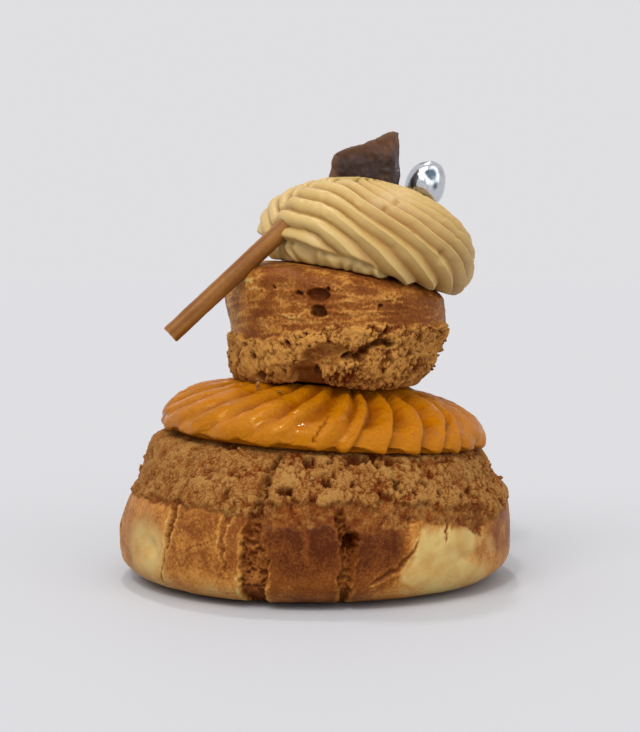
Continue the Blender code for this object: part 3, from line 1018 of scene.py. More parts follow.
def collar_point(station, start, points):
    sizes = look().collar
    angle = denser_in_front(start)
    turn = math.radians(angle)
    direction = Vector((math.cos(turn), math.sin(turn), 0.0))
    out = min(station.radius, COLLAR_RADIUS)
    spot = direction * out + Vector((0.0, 0.0, station.height))
    waver = 0.9 * waves(spot, 6.0 * MM, 2.0) + 0.5 * waves(spot, 2.0 * MM, 3.0)
    number, share, bold, crest = fold_here(points, angle + waver)
    height = fold_height(share, crest)
    rim = ease(29.5 * MM, 32.6 * MM, out)
    reach = ease(10.0 * MM, 20.0 * MM, out)
    kept = mix(0.4, 0.55, ease(-110.0, -80.0, angle)) if angle > -200.0 else 0.55
    if crest < 0.65:
        height = 1.0 - (1.0 - height) ** 1.7
    height = mix(1.0, height, 1.0 - (1.0 - kept) * ease(28.8 * MM, 32.5 * MM, out))
    depth = sizes.fold_depth * bold * (1.0 - height)
    torn = 0.0
    up = (COLLAR_EDGE - station.along) / MM
    if -96.0 < angle < -84.0 and station.part == "top":
        jagged = angle + 1.6 * waves(spot, 0.8 * MM, 5.0)
        beside = abs(away(jagged, along(TEAR, min(max(up, 0.4), 7.4))))
        torn = (1.0 - ease(0.2, 0.9, beside)) * ease(0.2, 0.8, up) * (1.0 - ease(6.4, 7.4, up))
    wet = ease(0.1, 0.3, waves(Vector((2.4 * share + 3.0 * number, up / 3.0, 0.0)), 1.0, 16.0)) * (1.0 - torn)
    swell = 0.11 * waves(spot, 0.8 * MM, 6.0) * height * (1.0 - wet) + 0.35 * waves(spot, 5.0 * MM, 8.0)
    swell += 0.12 * waves(spot, 2.2 * MM, 10.0)
    depth += (0.45 * torn - swell) * MM
    depth *= reach
    frill = rim * 0.45 * MM * waves(direction * COLLAR_RADIUS, 5.0 * MM, 9.0)
    hang = rim * MM * (0.3 * height + 0.3 * waves(direction * COLLAR_RADIUS, 2.2 * MM, 14.0) - 0.1)
    if station.part == "under":
        share_in = ease(0.6 * COLLAR_CONTACT, COLLAR_UNDER, station.radius)
        depth *= share_in
        frill *= share_in
    radius = station.radius - depth * max(station.out_r, 0.0) + frill
    x = COLLAR_X + radius * math.cos(turn)
    y = radius * math.sin(turn)
    slope = COLLAR_SLOPE * (x - COLLAR_X)
    level = station.height - depth * station.out_z - slope - hang
    if station.part == "under":
        lifted = ease(COLLAR_CONTACT, COLLAR_UNDER, station.radius)
        level = mix(large_top(x, y) + GAP, COLLAR_BASE - 0.95 * MM - slope - hang, lifted)
        return Vector((x, y, max(level, large_top(x, y) + GAP))), 0.5, 0.0, 0.0
    level = max(level, large_top(x, y) + 2.0 * GAP)
    seat = small_low(x, y) - GAP
    clear = ease(SMALL_SEAT, SMALL_SEAT_EDGE, math.hypot(x - SMALL_X, y))
    level = mix(seat, min(level, seat) if clear < 1.0 else level, clear)
    return Vector((x, y, level)), height, torn, wet


def collar_stations():
    outline = list(COLLAR_TOP_ARC)
    outline.append(("rim", COLLAR_RADIUS - 0.08 * MM, COLLAR_BASE - 0.35 * MM))
    outline.append(("rim", COLLAR_RADIUS - 0.35 * MM, COLLAR_BASE - 0.7 * MM))
    outline.append(("rim", COLLAR_RADIUS - 0.8 * MM, COLLAR_BASE - 0.9 * MM))
    outline.append(("rim", COLLAR_UNDER, COLLAR_BASE - 0.95 * MM))
    for share in (1.0, 0.85, 0.69, 0.45, 0.0):
        outline.append(("under", COLLAR_CONTACT * share, COLLAR_BASE - 1.5 * MM))
    return stations_of(outline, 124, collar_detail)


def collar_detail(part, radius, height):
    return 1.0 if radius > 12.0 * MM and part != "under" else 0.2


# Small bun.

SMALL_ARC = math.radians(SMALL_RADIUS / MM)

SMALL_CAP_EDGE = (
    (-270.0, 11.0),
    (-200.0, 9.0),
    (-149.0, 7.7),
    (-124.0, 7.8),
    (-110.0, 9.6),
    (-102.0, 10.8),
    (-90.0, 12.4),
    (-66.0, 13.6),
    (-52.0, 13.9),
    (-22.0, 15.2),
    (20.0, 12.0),
    (60.0, 9.0),
)
SMALL_CRACKS = (
    Crack(
        (
            (-86.0, 5.6, 0.3),
            (-83.0, 6.0, 0.7),
            (-79.0, 6.7, 1.0),
            (-76.0, 7.8, 0.8),
            (-73.0, 8.6, 0.5),
            (-69.5, 9.4, 0.6),
            (-66.0, 9.6, 0.4),
            (-62.5, 9.2, 0.4),
        ),
        3.0,
        0.2,
    ),
    Crack(((-119.5, 19.4, 0.15), (-115.0, 19.6, 0.3), (-108.0, 19.2, 0.3), (-103.0, 18.8, 0.3)), 0.5, 0.7),
    Crack(((-119.0, 17.0, 0.15), (-113.0, 17.3, 0.25), (-106.5, 17.4, 0.4)), 0.5, 0.7),
    Crack(((-92.5, 19.3, 0.25), (-86.0, 19.9, 0.3), (-79.5, 20.2, 0.15)), 0.5, 0.8),
    Crack(((-67.0, 18.4, 0.2), (-61.0, 19.3, 0.25), (-56.0, 19.4, 0.1)), 0.5, 0.8),
    Crack(((-126.0, 13.6, 0.1), (-116.0, 13.0, 0.25), (-104.0, 12.6, 0.3)), 0.5, 0.5),
    Crack(((-94.0, 14.6, 0.2), (-80.0, 14.9, 0.25), (-70.0, 15.6, 0.15)), 0.4, 0.6),
)
SMALL_HOLLOWS = (
    Hollow(-98.8, 18.5, 2.2, 1.35, 1.7),
    Hollow(-98.0, 15.1, 1.55, 1.3, 2.6),
    Hollow(-122.0, 19.2, 0.5, 0.35, 1.3),
    Hollow(-108.5, 18.5, 0.9, 0.6, 1.4),
    Hollow(-94.0, 20.0, 0.4, 0.4, 1.2),
    Hollow(-67.5, 17.8, 0.45, 0.35, 1.3),
    Hollow(-62.0, 9.1, 0.7, 0.6, 1.6),
    Hollow(-40.0, 3.6, 0.9, 0.7, 1.6),
)
SMALL_SAG = (  # how far the lower edge hangs down
    (-270.0, 0.0),
    (-190.0, 0.0),
    (-158.0, 0.8),
    (-126.0, 0.5),
    (-112.0, 0.1),
    (-101.0, -0.4),
    (-92.0, 0.6),
    (-72.0, 1.2),
    (-52.0, 1.4),
    (-20.0, 0.9),
    (20.0, 0.2),
    (60.0, 0.0),
)
BROKEN_CAP = (
    Hollow(-92.0, 6.6, 3.4, 1.9, 1.1),
    Hollow(-99.0, 4.6, 3.2, 2.3, 1.4),
    Hollow(-107.0, 1.6, 3.4, 2.2, 1.6),
    Hollow(-99.5, 0.8, 1.3, 1.6, 2.6),
)


def small_bun_point(station, start, cracks):
    """Split skin above, the crumbly cap below, and a place at the front where the cap has broken away."""
    sizes = look().baked
    angle = denser_in_front(start)
    turn = math.radians(angle)
    share = station.height
    wall = ease(16.5 * MM, 18.6 * MM, station.radius)
    x = SMALL_X + station.radius * math.cos(turn)
    y = station.radius * math.sin(turn)
    place = Vector((x, y, mix(small_low(x, y), small_high(x, y), share)))
    if station.part == "base":
        place.z -= 0.9 * GAP
    if station.part == "base" or wall == 0.0:
        return place, 0.0, 0.5, 0.5, 0.0, 0.0
    level = share * SMALL_HEIGHT / MM
    under_cream = 1.0 - ease(0.88, 0.96, share)
    ragged = 1.0 * waves(place, 2.4 * MM, 43.0) + 0.7 * waves(place, 1.0 * MM, 48.0)
    cap = 1.0 - ease(-0.35, 0.35, level - along(SMALL_CAP_EDGE, angle) + ragged)

    jag = 0.6 * waves(place, 1.7 * MM, 52.0) + 0.45 * waves(place, 0.7 * MM, 55.0)
    opened, depth, lace, near = crack_here(cracks, angle + jag / SMALL_ARC, level + jag, SMALL_ARC)
    holed, hole_depth = hollow_here(SMALL_HOLLOWS, angle + 0.7 * jag / SMALL_ARC, level + 0.5 * jag, SMALL_ARC)
    broken, broken_depth = hollow_here(BROKEN_CAP, angle + 1.5 * jag / SMALL_ARC, level + jag, SMALL_ARC)

    plates = Vector((angle * SMALL_ARC / 7.5, level / 2.3, 0.0)) + Vector((0.5 * jag, 0.3 * jag, 0.0))
    gaps = noise.voronoi(plates)[0]
    rim = 1.0 - ease(0.0, 0.2, gaps[1] - gaps[0])
    rim *= 0.35 + 0.65 * ease(-0.3, 0.2, waves(place, 5.0 * MM, 62.0))
    pores = rim * ease(0.2, 0.45, waves(place, 0.5 * MM, 61.0))

    lump = crumbs(place, 0.9 * sizes.crumb_size, 44.0, 0.4) if cap > 0.0 else 0.5
    pit = cap * (1.0 - broken) * ease(0.42, 0.56, waves(place, 1.8 * MM, 63.0))
    out = 0.7 * waves(Vector((x - SMALL_X, y, share * SMALL_HEIGHT)), 11.0 * MM, 7.0)
    heavy = hump(away(angle, -178.0), 75.0) * (1.0 - ease(0.06, 0.24, share))
    out += 1.9 * heavy
    out -= 1.5 * hump(away(angle, 180.0), 75.0) * (1.0 - ease(0.34, 0.7, share))
    out -= 2.1 * hump(away(angle, -10.0), 85.0) * (1.0 - ease(0.3, 0.56, share))
    out += cap * (1.0 - broken) * (0.6 + sizes.crumb_depth / MM * 2.7 * (lump - 0.6))
    out -= broken * broken_depth
    out -= pit * sizes.pit_depth / MM
    skin = 1.0 - cap
    out += skin * under_cream * (0.16 * rim - 0.25 * pores)
    out -= opened * depth * (1.0 - 0.5 * lace * web(place, 0.55 * MM, 57.0))
    out += 0.12 * near * (1.0 - opened) * skin
    out -= holed * hole_depth

    toast = 0.68 + 0.16 * waves(place, 5.0 * MM, 66.0) - 0.32 * rim - 0.24 * near * (1.0 - opened)
    # painted light: the skin is paler towards its left end, lifting the shade that the cream and the stick cast there
    toast += 0.14 * (gaps[2] - 0.75) - 0.24 * hump(away(angle, -165.0), 40.0)
    toast -= 0.3 * hump(away(angle, -86.0) * SMALL_ARC - 2.6 * (level - 18.0), 2.2) * skin * hump(level - 18.4, 2.4)
    toast = mix(toast, 0.35, opened * lace)
    # hollow is painted shade in the cracks, holes, pits and pores, and a painted shadow in the notch under the broken
    # cap
    hollow = min(1.0, 0.7 * holed + 0.8 * pit + 0.6 * pores * skin + opened * (1.0 - 0.8 * lace))
    hollow = max(hollow, 0.6 * broken * (1.0 - ease(0.5, 3.6, level)))
    reach = wall * under_cream * out * MM
    radius = station.radius + reach * station.out_r
    x = SMALL_X + radius * math.cos(turn)
    y = radius * math.sin(turn)
    sag = 0.9 * heavy + along(SMALL_SAG, angle) * (1.0 - ease(0.0, 0.3, share))
    droop = sag * MM * ease(14.0 * MM, 18.5 * MM, radius) - reach * min(station.out_z, 0.0)
    place = Vector((x, y, mix(small_low(x, y), small_high(x, y), share) - droop))
    crumb = cap * (1.0 - 0.75 * broken)
    # lighter crumbs towards the left of the front: partly their own tone, partly painted light
    lighter = 0.04 + 0.16 * ease(-90.0, -112.0, angle) * (1.0 if angle > -200.0 else 0.0)
    # painted shade: the crumb is darker in the pits
    return place, crumb, 1.2 * lump - 0.1 + lighter - 0.3 * pit, toast, 0.0, hollow


def small_bun_stations():
    """Its heights are shares of the way from the underside to the top."""
    outline = []
    for part, radius, height in arc("top", SMALL_RADIUS, 0.0, 1.0, SMALL_POWER_UP, 160):
        outline.append((part, radius, SMALL_WIDEST + (1.0 - SMALL_WIDEST) * height))
    for number in range(1, 61):
        share = number / 60.0
        radius = mix(12.0 * MM, SMALL_RADIUS, quarter(share, SMALL_POWER_DOWN))
        outline.append(("side", radius, SMALL_WIDEST * (1.0 - share)))
    outline.append(("base", 0.0, 0.0))
    level = [(part, radius, height * SMALL_HEIGHT) for part, radius, height in outline]
    stations = stations_of(level, 122, small_bun_detail)
    return [station._replace(height=station.height / SMALL_HEIGHT) for station in stations]


def small_bun_detail(part, radius, height):
    return 1.0 if radius > 14.0 * MM and part != "base" else 0.15


# Coffee rosette.

RIDGE_START = -193.0  # the angle at which one of the crests would leave the top
LEVEL_RUN = -118.0  # left of this angle the ridges run level
SEAM = -151.0  # where they end, at the start of the last turn of the piping
CREAM_PITS = (
    (-85.0, 19.3, 0.6),
    (-76.0, 16.3, 0.7),
    (-68.0, 24.1, 0.6),
    (-48.0, 27.1, 0.9),
    (-84.0, 32.0, 0.5),
    (-98.0, 31.4, 0.5),
)
FOOT = (  # height of the squashed first turn under the ridges
    (-270.0, 1.6),
    (-220.0, 3.0),
    (-180.0, 3.6),
    (-150.0, 3.6),
    (-130.0, 3.5),
    (-119.0, 2.9),
    (-107.0, 2.5),
    (-97.0, 2.6),
    (-84.0, 1.9),
    (-77.0, 0.8),
    (-70.0, 0.0),
    (20.0, 0.0),
)
FOOT_INSET = 1.1 * MM
FOOT_FOLDS = 38


def cream_world(radius, turn, height):
    """A point of the upright rosette, tilted into place."""
    point = Vector((radius * math.cos(turn), radius * math.sin(turn), height))
    return CREAM_CENTRE + Matrix.Rotation(CREAM_TILT, 3, "Y") @ point


def ridge_lag(angle, way):
    """Degrees that the ridges are held back by where they run level, between the seam and the front."""
    past = away(angle, LEVEL_RUN)
    if past > 10.0 or past < SEAM - LEVEL_RUN:
        return 0.0
    onward = (past + 10.0) ** 2 / 40.0 if past > -10.0 else 0.0
    return 0.9 * (onward - past) * ease(6.0, 13.0, way)


def ridge_height(side, sharp):
    """Across a ridge, side being 0 at its crest and 1 in the groove: rounded, with a narrow groove, or as
    it grows sharper a thin crest over hollow sides."""
    rounded = (1.0 - side**2.2) ** 0.8
    crested = (1.0 - side**0.9) ** 1.25
    return mix(rounded, crested, sharp)


def rosette_point(station, start):
    sizes = look().rosette
    way = min(station.along, CREAM_SWEEP) / MM
    begin = math.degrees(start)
    angle = (begin + sizes.twist * way + 270.0) % 360.0 - 270.0
    turn = math.radians(angle)
    out = CREAM_UNDER_RADIUS if station.part == "under" else station.radius
    spot = Vector((out * math.cos(turn), out * math.sin(turn), station.height))
    waver = 0.07 * waves(spot, 5.0 * MM, 71.0) + 0.03 * waves(spot, 1.6 * MM, 72.0)
    phase = (begin + ridge_lag(angle, way) - RIDGE_START) * sizes.ridges / 360.0 + 0.5 + waver
    side = abs(2.0 * (phase % 1.0) - 1.0)
    past_seam = away(angle, SEAM) * math.radians(out / MM)
    seam = ease(9.0, 14.0, way)
    dropped = 0.0
    if 0.0 <= past_seam < 1.8:
        side = mix(side, min(1.0, math.hypot(side, 1.0 - past_seam / 1.8)), seam)
    sharp = ease(-125.0, -85.0, angle) * (1.0 - ease(20.0, 80.0, angle)) if angle > -180.0 else 0.3
    height = ridge_height(side, 0.8 * sharp)
    if -9.0 < past_seam < 0.0:
        height *= mix(1.0, ease(0.0, 1.3, -past_seam), seam)
        dropped = 0.5 * MM * seam * (1.0 - ease(0.0, 9.0, -past_seam))
    depth = sizes.ridge_depth * (1.0 - height) * ease(1.5, 9.0, way) + dropped
    lump = 0.25 * MM * waves(spot, 6.0 * MM, 75.0) + 0.06 * MM * waves(spot, 1.5 * MM, 76.0)
    tear = 0.25 * MM * height * ease(0.35, 0.6, waves(spot, 2.0 * MM, 77.0))
    pit = 0.0
    for pit_angle, pit_way, half in CREAM_PITS:
        across = away(angle, pit_angle) * math.radians(out / MM)
        pit = max(pit, 1.0 - ease(0.2, 1.2, math.hypot(across, way - pit_way) / half))
    depth += tear + pit * 0.6 * MM - lump
    # painted shade: darker towards the grooves and in the pits
    shade = height * (1.0 - 0.6 * pit)
    if station.part == "top":
        radius = station.radius - depth * station.out_r
        return cream_world(radius, turn, station.height - depth * station.out_z), shade
    foot = along(FOOT, angle)
    above = station.height / MM - foot
    in_foot = (1.0 - ease(-0.35, 0.35, above)) * ease(0.1, 0.8, foot)
    folds = angle * FOOT_FOLDS / 360.0 + 0.7 * waves(spot, 4.0 * MM, 81.0) + 0.5 * station.height / CREAM_WIDEST
    scallop = 0.5 - 0.5 * math.cos(2.0 * math.pi * folds)
    strength = 0.75 + 0.7 * waves(spot, 5.0 * MM, 82.0)
    inset = FOOT_INSET + (0.9 * strength * (1.0 - scallop) + 0.6 * ease(-1.3, 0.0, above)) * MM - lump
    low = 1.0 - station.height / CREAM_WIDEST
    free = 1.0 - ease(0.0, 1.2, foot)
    tucked = (1.0 + 1.0 * free) * MM * (1.0 - math.sqrt(1.0 - low * low))
    depth = mix(depth, inset, in_foot) + tucked
    hang = 0.9 * MM * free * (1.0 - height) * low * low
    radius = station.radius * (1.0 - depth / CREAM_UNDER_RADIUS) if station.part == "under" else station.radius - depth
    rim = cream_world(radius, turn, CREAM_WIDEST)
    point = cream_world(radius, turn, station.height)
    floor = small_top(point.x, point.y) + GAP
    level = mix(floor, rim.z, station.height / CREAM_WIDEST)
    level += hang * (station.radius / CREAM_UNDER_RADIUS if station.part == "under" else 1.0)
    # in the foot: painted shade between the scallops, and the whole foot lifted lighter as painted light
    return Vector((point.x, point.y, level)), mix(shade, 0.6 + 0.4 * scallop, in_foot)


def rosette_stations():
    outline = arc("top", CREAM_RADIUS, CREAM_WIDEST, CREAM_RISE, CREAM_POWER, 200)
    for number in range(1, 25):
        share = 1.0 - number / 24.0
        inset = (1.0 - share) ** 2.2
        outline.append(("wall", mix(CREAM_RADIUS, CREAM_UNDER_RADIUS, inset), CREAM_WIDEST * share))
    for share in (0.9, 0.5, 0.0):
        outline.append(("under", CREAM_UNDER_RADIUS * share, 0.0))
    return stations_of(outline, 140, rosette_detail)


def rosette_detail(part, radius, height):
    return 1.0 if part != "under" else 0.1


# Toppings.


def stick_point(station, start, frame_of_stick):
    """A moulded stick with rubbed edges and a rough, slightly sunken end."""
    turn = start
    spot = Vector((math.cos(turn) * station.radius, math.sin(turn) * station.radius, station.height))
    out = 0.05 * MM * waves(spot, 3.0 * MM, 90.0) + 0.04 * MM * waves(spot, 0.9 * MM, 91.0)
    end = 1.0 - ease(-0.1 * MM, 0.5 * MM, station.height)
    sink = 0.25 * MM * end * (1.0 - station.radius / STICK_RADIUS)
    rough = 0.2 * MM * end * waves(spot, 0.8 * MM, 92.0)
    radius = station.radius + out * min(1.0, station.radius / STICK_RADIUS)
    local = Vector((radius * math.cos(turn), radius * math.sin(turn), station.height + sink + rough))
    lengthwise = Vector((spot.x, spot.y, 0.08 * spot.z))
    streak = 0.3 + 0.6 * waves(lengthwise, 0.9 * MM, 93.0) + 0.3 * waves(spot, 4.0 * MM, 94.0)
    return frame_of_stick @ local, end, streak


def stick_stations(length):
    rounded = 0.3 * MM
    outline = [("inside", 0.0, length), ("inside", STICK_RADIUS, length)]
    for number in range(1, 61):
        outline.append(("side", STICK_RADIUS, mix(length, rounded, number / 60.0)))
    for number in range(1, 9):
        turn = 0.5 * math.pi * number / 8.0
        radius = STICK_RADIUS - rounded + rounded * math.cos(turn)
        outline.append(("side", radius, rounded - rounded * math.sin(turn)))
    outline.append(("end", 0.0, 0.0))
    return stations_of(outline, 130, stick_detail)


def stick_detail(part, radius, height):
    return 3.0 if height < 2.0 * MM else 1.0


# Loose crumbs.

FALLEN_CRUMBS = (  # place and size, on the collar under the small bun's front edge
    (Vector((-10.9, -17.2, 39.35)) * MM, 0.75 * MM),
    (Vector((-10.7, -17.4, 38.65)) * MM, 0.5 * MM),
    (Vector((-6.6, -18.4, 38.2)) * MM, 0.45 * MM),
)


def crumb_spots(bun, count, seed, low=0.0):
    """Places, ways out and sizes for loose crumbs on the crumbly part of a finished bun."""
    mesh = bun.data
    share = mesh.attributes["crumb"].data
    chance = random.Random(seed)
    spots = []
    while len(spots) < count:
        number = chance.randrange(len(mesh.vertices))
        vert = mesh.vertices[number]
        under_collar = 20.0 * MM < vert.co.z < 35.0 * MM and math.hypot(vert.co.x, vert.co.y) < 30.0 * MM
        if share[number].value < 0.8 or under_collar or vert.co.z < low:
            continue
        spots.append((vert.co.copy(), vert.normal.copy(), MM * chance.lognormvariate(-0.95, 0.4)))
    return spots


def crumb_heap(name, spots, seed):
    """Small broken lumps, joined into one piece."""
    chance = random.Random(seed)
    heap = bmesh.new()
    single = bpy.data.meshes.new("single crumb")
    for place, out, size in spots:
        turn = Vector((chance.random(), chance.random(), chance.random())).to_track_quat("Z", "Y")
        stretch = Vector((1.0, chance.uniform(0.6, 1.0), chance.uniform(0.5, 0.9))) * size
        centre = place + out * size * chance.uniform(-0.3, 0.2)
        tone = chance.uniform(0.45, 0.95)
        bm = bmesh.new()
        lump = bm.verts.layers.float.new("lump")
        crumb = bm.verts.layers.float.new("crumb")
        bmesh.ops.create_uvsphere(bm, u_segments=7, v_segments=5, radius=1.0)
        for vert in bm.verts:
            rough = 1.0 + 0.6 * noise.noise(vert.co * 1.3 + Vector((size * 9e4, tone * 40.0, 0.0)))
            local = Vector((vert.co.x * stretch.x, vert.co.y * stretch.y, vert.co.z * stretch.z))
            vert.co = centre + turn @ (local * rough)
            vert[lump] = tone
            vert[crumb] = 1.0
        bm.to_mesh(single)
        bm.free()
        heap.from_mesh(single)
    bpy.data.meshes.remove(single)
    return object_of(name, heap)


# Operators.


class PASTRY_OT_large_bun(bpy.types.Operator):
    """Bakes the large bun: crumbly cap, toasted band and cracked skin"""

    bl_idname = "pastry.large_bun"
    bl_label = "Large Bun"

    def execute(self, context):
        cracks = list(LARGE_CRACKS)
        for number in range(7):
            cracks.append(wandering_crack(-5.0 + 33.0 * number, number))
        cracks = by_degree(cracks, LARGE_ARC)
        marks = ("crumb", "lump", "toast", "pale", "hollow")
        bun = grown(
            "large_bun",
            large_bun_stations(),
            round(DETAIL * 640),
            lambda station, start: large_bun_point(station, start, cracks),
            marks,
        )
        finish = baked_finish("baked choux", look().baked.crumb_light)
        hand_over(bun, finish, "large_choux")
        return {"FINISHED"}


class PASTRY_OT_collar(bpy.types.Operator):
    """Pipes the caramel collar in leaning folds"""

    bl_idname = "pastry.collar"
    bl_label = "Caramel Collar"

    def execute(self, context):
        valleys = all_valleys()
        stations = collar_stations()
        rows = {station: valleys_up(valleys, (COLLAR_EDGE - station.along) / MM) for station in stations}
        collar = grown(
            "caramel_folds",
            stations,
            round(DETAIL * 640),
            lambda station, start: collar_point(station, start, rows[station]),
            ("fold", "torn", "wet"),
        )
        hand_over(collar, caramel_finish(), "caramel_collar")
        return {"FINISHED"}


class PASTRY_OT_small_bun(bpy.types.Operator):
    """Bakes the small bun and sets it upside down on the collar"""

    bl_idname = "pastry.small_bun"
    bl_label = "Small Bun"

    def execute(self, context):
        marks = ("crumb", "lump", "toast", "pale", "hollow")
        cracks = by_degree(SMALL_CRACKS, SMALL_ARC)
        bun = grown(
            "small_bun",
            small_bun_stations(),
            round(DETAIL * 500),
            lambda station, start: small_bun_point(station, start, cracks),
            marks,
        )
        finish = baked_finish("baked choux, small", look().baked.crumb_pale)
        hand_over(bun, finish, "small_choux")
        return {"FINISHED"}


class PASTRY_OT_rosette(bpy.types.Operator):
    """Pipes the coffee rosette through a star nozzle"""

    bl_idname = "pastry.rosette"
    bl_label = "Coffee Rosette"

    def execute(self, context):
        steps = round(DETAIL * 28) * look().rosette.ridges
        cream = grown("coffee_rosette", rosette_stations(), steps, rosette_point, ("ridge",))
        hand_over(cream, cream_finish(), "coffee_cream")
        return {"FINISHED"}


class PASTRY_OT_stick(bpy.types.Operator):
    """Moulds the chocolate stick"""

    bl_idname = "pastry.stick"
    bl_label = "Chocolate Stick"

    def execute(self, context):
        way = STICK_ENTRY - STICK_OUTER
        length = way.length + STICK_INSIDE
        place = Matrix.Translation(STICK_OUTER) @ way.to_track_quat("Z", "Y").to_matrix().to_4x4()
        stick = grown(
            "chocolate_stick_piece",
            stick_stations(length),
            48,
            lambda station, start: stick_point(station, start, place),
            ("end", "streak"),
        )
        hand_over(stick, stick_finish(), "chocolate_stick")
        return {"FINISHED"}


class PASTRY_OT_shard(bpy.types.Operator):
    """Breaks the dark chocolate shard out of a slab"""

    bl_idname = "pastry.shard"
    bl_label = "Chocolate Shard"

    def execute(self, context):
        bm = bmesh.new()
        half = SHARD_THICKNESS / 2.0
        corners = [bm.verts.new((a * MM, -half, b * MM)) for a, b in SHARD_CORNERS]
        face = bm.faces.new(corners)
        grown_geometry = bmesh.ops.extrude_face_region(bm, geom=[face])["geom"]
        moved = [item for item in grown_geometry if isinstance(item, bmesh.types.BMVert)]
        bmesh.ops.translate(bm, verts=moved, vec=(0.0, 2.0 * half, 0.0))
        bmesh.ops.bevel(
            bm, geom=bm.edges[:], offset=0.4 * MM, segments=2, affect="EDGES", profile=0.5, material=-1
        )
        for vert in bm.verts:  # the nudge leaves no face with two equal ways of cutting it
            vert.co += SHARD_NUDGE * noise.noise_vector(vert.co / MM)
        bmesh.ops.triangulate(bm, faces=bm.faces[:])
        for _ in range(5):
            long_edges = [edge for edge in bm.edges if edge.calc_length() > 0.45 * MM]
            bmesh.ops.subdivide_edges(bm, edges=long_edges, cuts=1)
            bmesh.ops.triangulate(bm, faces=bm.faces[:])
        bmesh.ops.recalc_face_normals(bm, faces=bm.faces)
        dust = bm.verts.layers.float.new("dust")
        for vert in bm.verts:
            spot = vert.co.copy()
            broken = ease(1.0 * MM, 4.0 * MM, spot.z)
            out = 0.3 * MM * waves(spot, 2.5 * MM, 95.0) + 0.15 * MM * waves(spot, 0.9 * MM, 96.0)
            vert.co += vert.normal * out * broken
            vert[dust] = 0.8 * ease(3.0 * MM, 7.0 * MM, -spot.x) + 0.5 * ease(8.0 * MM, 13.0 * MM, spot.z)
        turn = Matrix.Rotation(SHARD_TURN, 4, "Z") @ Matrix.Rotation(SHARD_LEAN, 4, "X")
        bm.transform(Matrix.Translation(SHARD_CENTRE) @ turn)
        hand_over(object_of("chocolate_shard_piece", bm), shard_finish(), "chocolate_shard")
        return {"FINISHED"}


class PASTRY_OT_almond(bpy.types.Operator):
    """Makes the silvered almond"""

    bl_idname = "pastry.almond"
    bl_label = "Silvered Almond"

    def execute(self, context):
        bm = bmesh.new()
        bmesh.ops.create_uvsphere(bm, u_segments=120, v_segments=80, radius=1.0)
        dimple = bm.verts.layers.float.new("dimple")
        place = Matrix.Translation(ALMOND_CENTRE) @ Matrix.Rotation(ALMOND_LEAN, 4, "Y")
        for vert in bm.verts:
            spot = vert.co.copy()
            dent = waves(spot, 0.75, 97.0) + 0.2 * waves(spot, 0.3, 98.0)
            vert[dimple] = 1.0 - ease(-0.5, -0.05, dent)
            swell = 0.96 + 0.06 * dent
            sizes = ALMOND_HALF_SIZES * swell
            vert.co = place @ Vector((spot.x * sizes.x, spot.y * sizes.y, spot.z * sizes.z))
        hand_over(object_of("silvered_almond_piece", bm), silver_finish(), "silvered_almond")
        return {"FINISHED"}


class PASTRY_OT_crumbs(bpy.types.Operator):
    """Scatters loose crumbs over the caps of both buns"""

    bl_idname = "pastry.crumbs"
    bl_label = "Loose Crumbs"

    def execute(self, context):
        count = look().baked.loose_crumbs
        finish = bpy.data.materials["baked choux"]
        large = crumb_heap("large_bun_crumbs", crumb_spots(bpy.data.objects["large_bun"], count, 5), 6)
        hand_over(large, finish)
        spots = crumb_spots(bpy.data.objects["small_bun"], count // 2, 7, 41.5 * MM)
        spots += [(place, Vector((0.0, 0.0, -1.0)), size) for place, size in FALLEN_CRUMBS]
        hand_over(crumb_heap("small_bun_crumbs", spots, 8), finish)
        return {"FINISHED"}


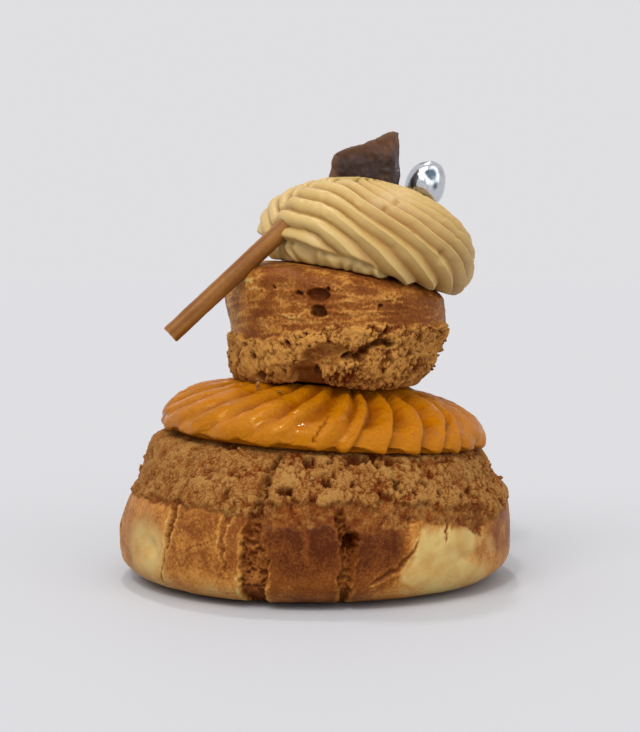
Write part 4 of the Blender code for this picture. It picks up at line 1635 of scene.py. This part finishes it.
class PASTRY_OT_stage(bpy.types.Operator):
    """Lays the floor and sets the lights and the camera"""

    bl_idname = "pastry.stage"
    bl_label = "Stage"

    def execute(self, context):
        colours = look().stage
        scene = context.scene
        scene.view_settings.view_transform = "Standard"
        bm = bmesh.new()
        bmesh.ops.create_circle(bm, cap_ends=True, segments=96, radius=12.0)
        floor = object_of("floor", bm)
        floor.data.materials.append(floor_finish())
        world = bpy.data.worlds.new("studio")
        world.use_nodes = True
        world.node_tree.nodes["Background"].inputs["Color"].default_value = (*colours.backdrop, 1.0)
        scene.world = world
        for name, strength, pitch, turn, width in (
            ("key", colours.key, 42.0, -32.0, 40.0),
            ("fill", colours.fill, 66.0, 34.0, 60.0),
            ("glint", colours.glint, 38.0, -20.0, 4.0),
            ("top", colours.top, -20.0, 14.0, 4.0),
        ):
            light = bpy.data.lights.new(name, "SUN")
            light.energy = strength
            light.angle = math.radians(width)
            lamp = bpy.data.objects.new(name, light)
            lamp.rotation_euler = (math.radians(pitch), 0.0, math.radians(turn))
            scene.collection.objects.link(lamp)
        view = bpy.data.cameras.new("camera")
        view.lens = 75.2
        view.clip_start = 0.01
        camera = bpy.data.objects.new("camera", view)
        camera.location = Vector((1.0, -308.0, 60.0)) * MM
        camera.rotation_euler = (math.radians(90.0 - 3.35), 0.0, 0.0)
        scene.collection.objects.link(camera)
        scene.camera = camera
        return {"FINISHED"}


class PASTRY_PT_panel(bpy.types.Panel):
    bl_idname = "PASTRY_PT_panel"
    bl_label = "Religieuse"
    bl_space_type = "VIEW_3D"
    bl_region_type = "UI"
    bl_category = "Pastry"

    def draw(self, context):
        for operator in OPERATORS:
            self.layout.operator(operator.bl_idname)
        for group in ("baked", "collar", "rosette", "toppings", "stage"):
            box = self.layout.box()
            settings = getattr(look(), group)
            for name in settings.bl_rna.properties.keys():
                if name not in ("rna_type", "name"):
                    box.prop(settings, name)


OPERATORS = (
    PASTRY_OT_large_bun,
    PASTRY_OT_collar,
    PASTRY_OT_small_bun,
    PASTRY_OT_rosette,
    PASTRY_OT_stick,
    PASTRY_OT_shard,
    PASTRY_OT_almond,
    PASTRY_OT_crumbs,
    PASTRY_OT_stage,
)
CLASSES = (
    BakedLook,
    CollarLook,
    RosetteLook,
    ToppingLook,
    StageLook,
    PastryLook,
    *OPERATORS,
    PASTRY_PT_panel,
)


def register():
    for cls in CLASSES:
        bpy.utils.register_class(cls)
    bpy.types.Scene.pastry_look = PointerProperty(type=PastryLook)


def unregister():
    del bpy.types.Scene.pastry_look
    for cls in reversed(CLASSES):
        bpy.utils.unregister_class(cls)


def main():
    register()
    bpy.ops.pastry.large_bun()
    bpy.ops.pastry.collar()
    bpy.ops.pastry.small_bun()
    bpy.ops.pastry.rosette()
    bpy.ops.pastry.stick()
    bpy.ops.pastry.shard()
    bpy.ops.pastry.almond()
    bpy.ops.pastry.crumbs()
    bpy.ops.pastry.stage()


if __name__ == "__main__":
    main()
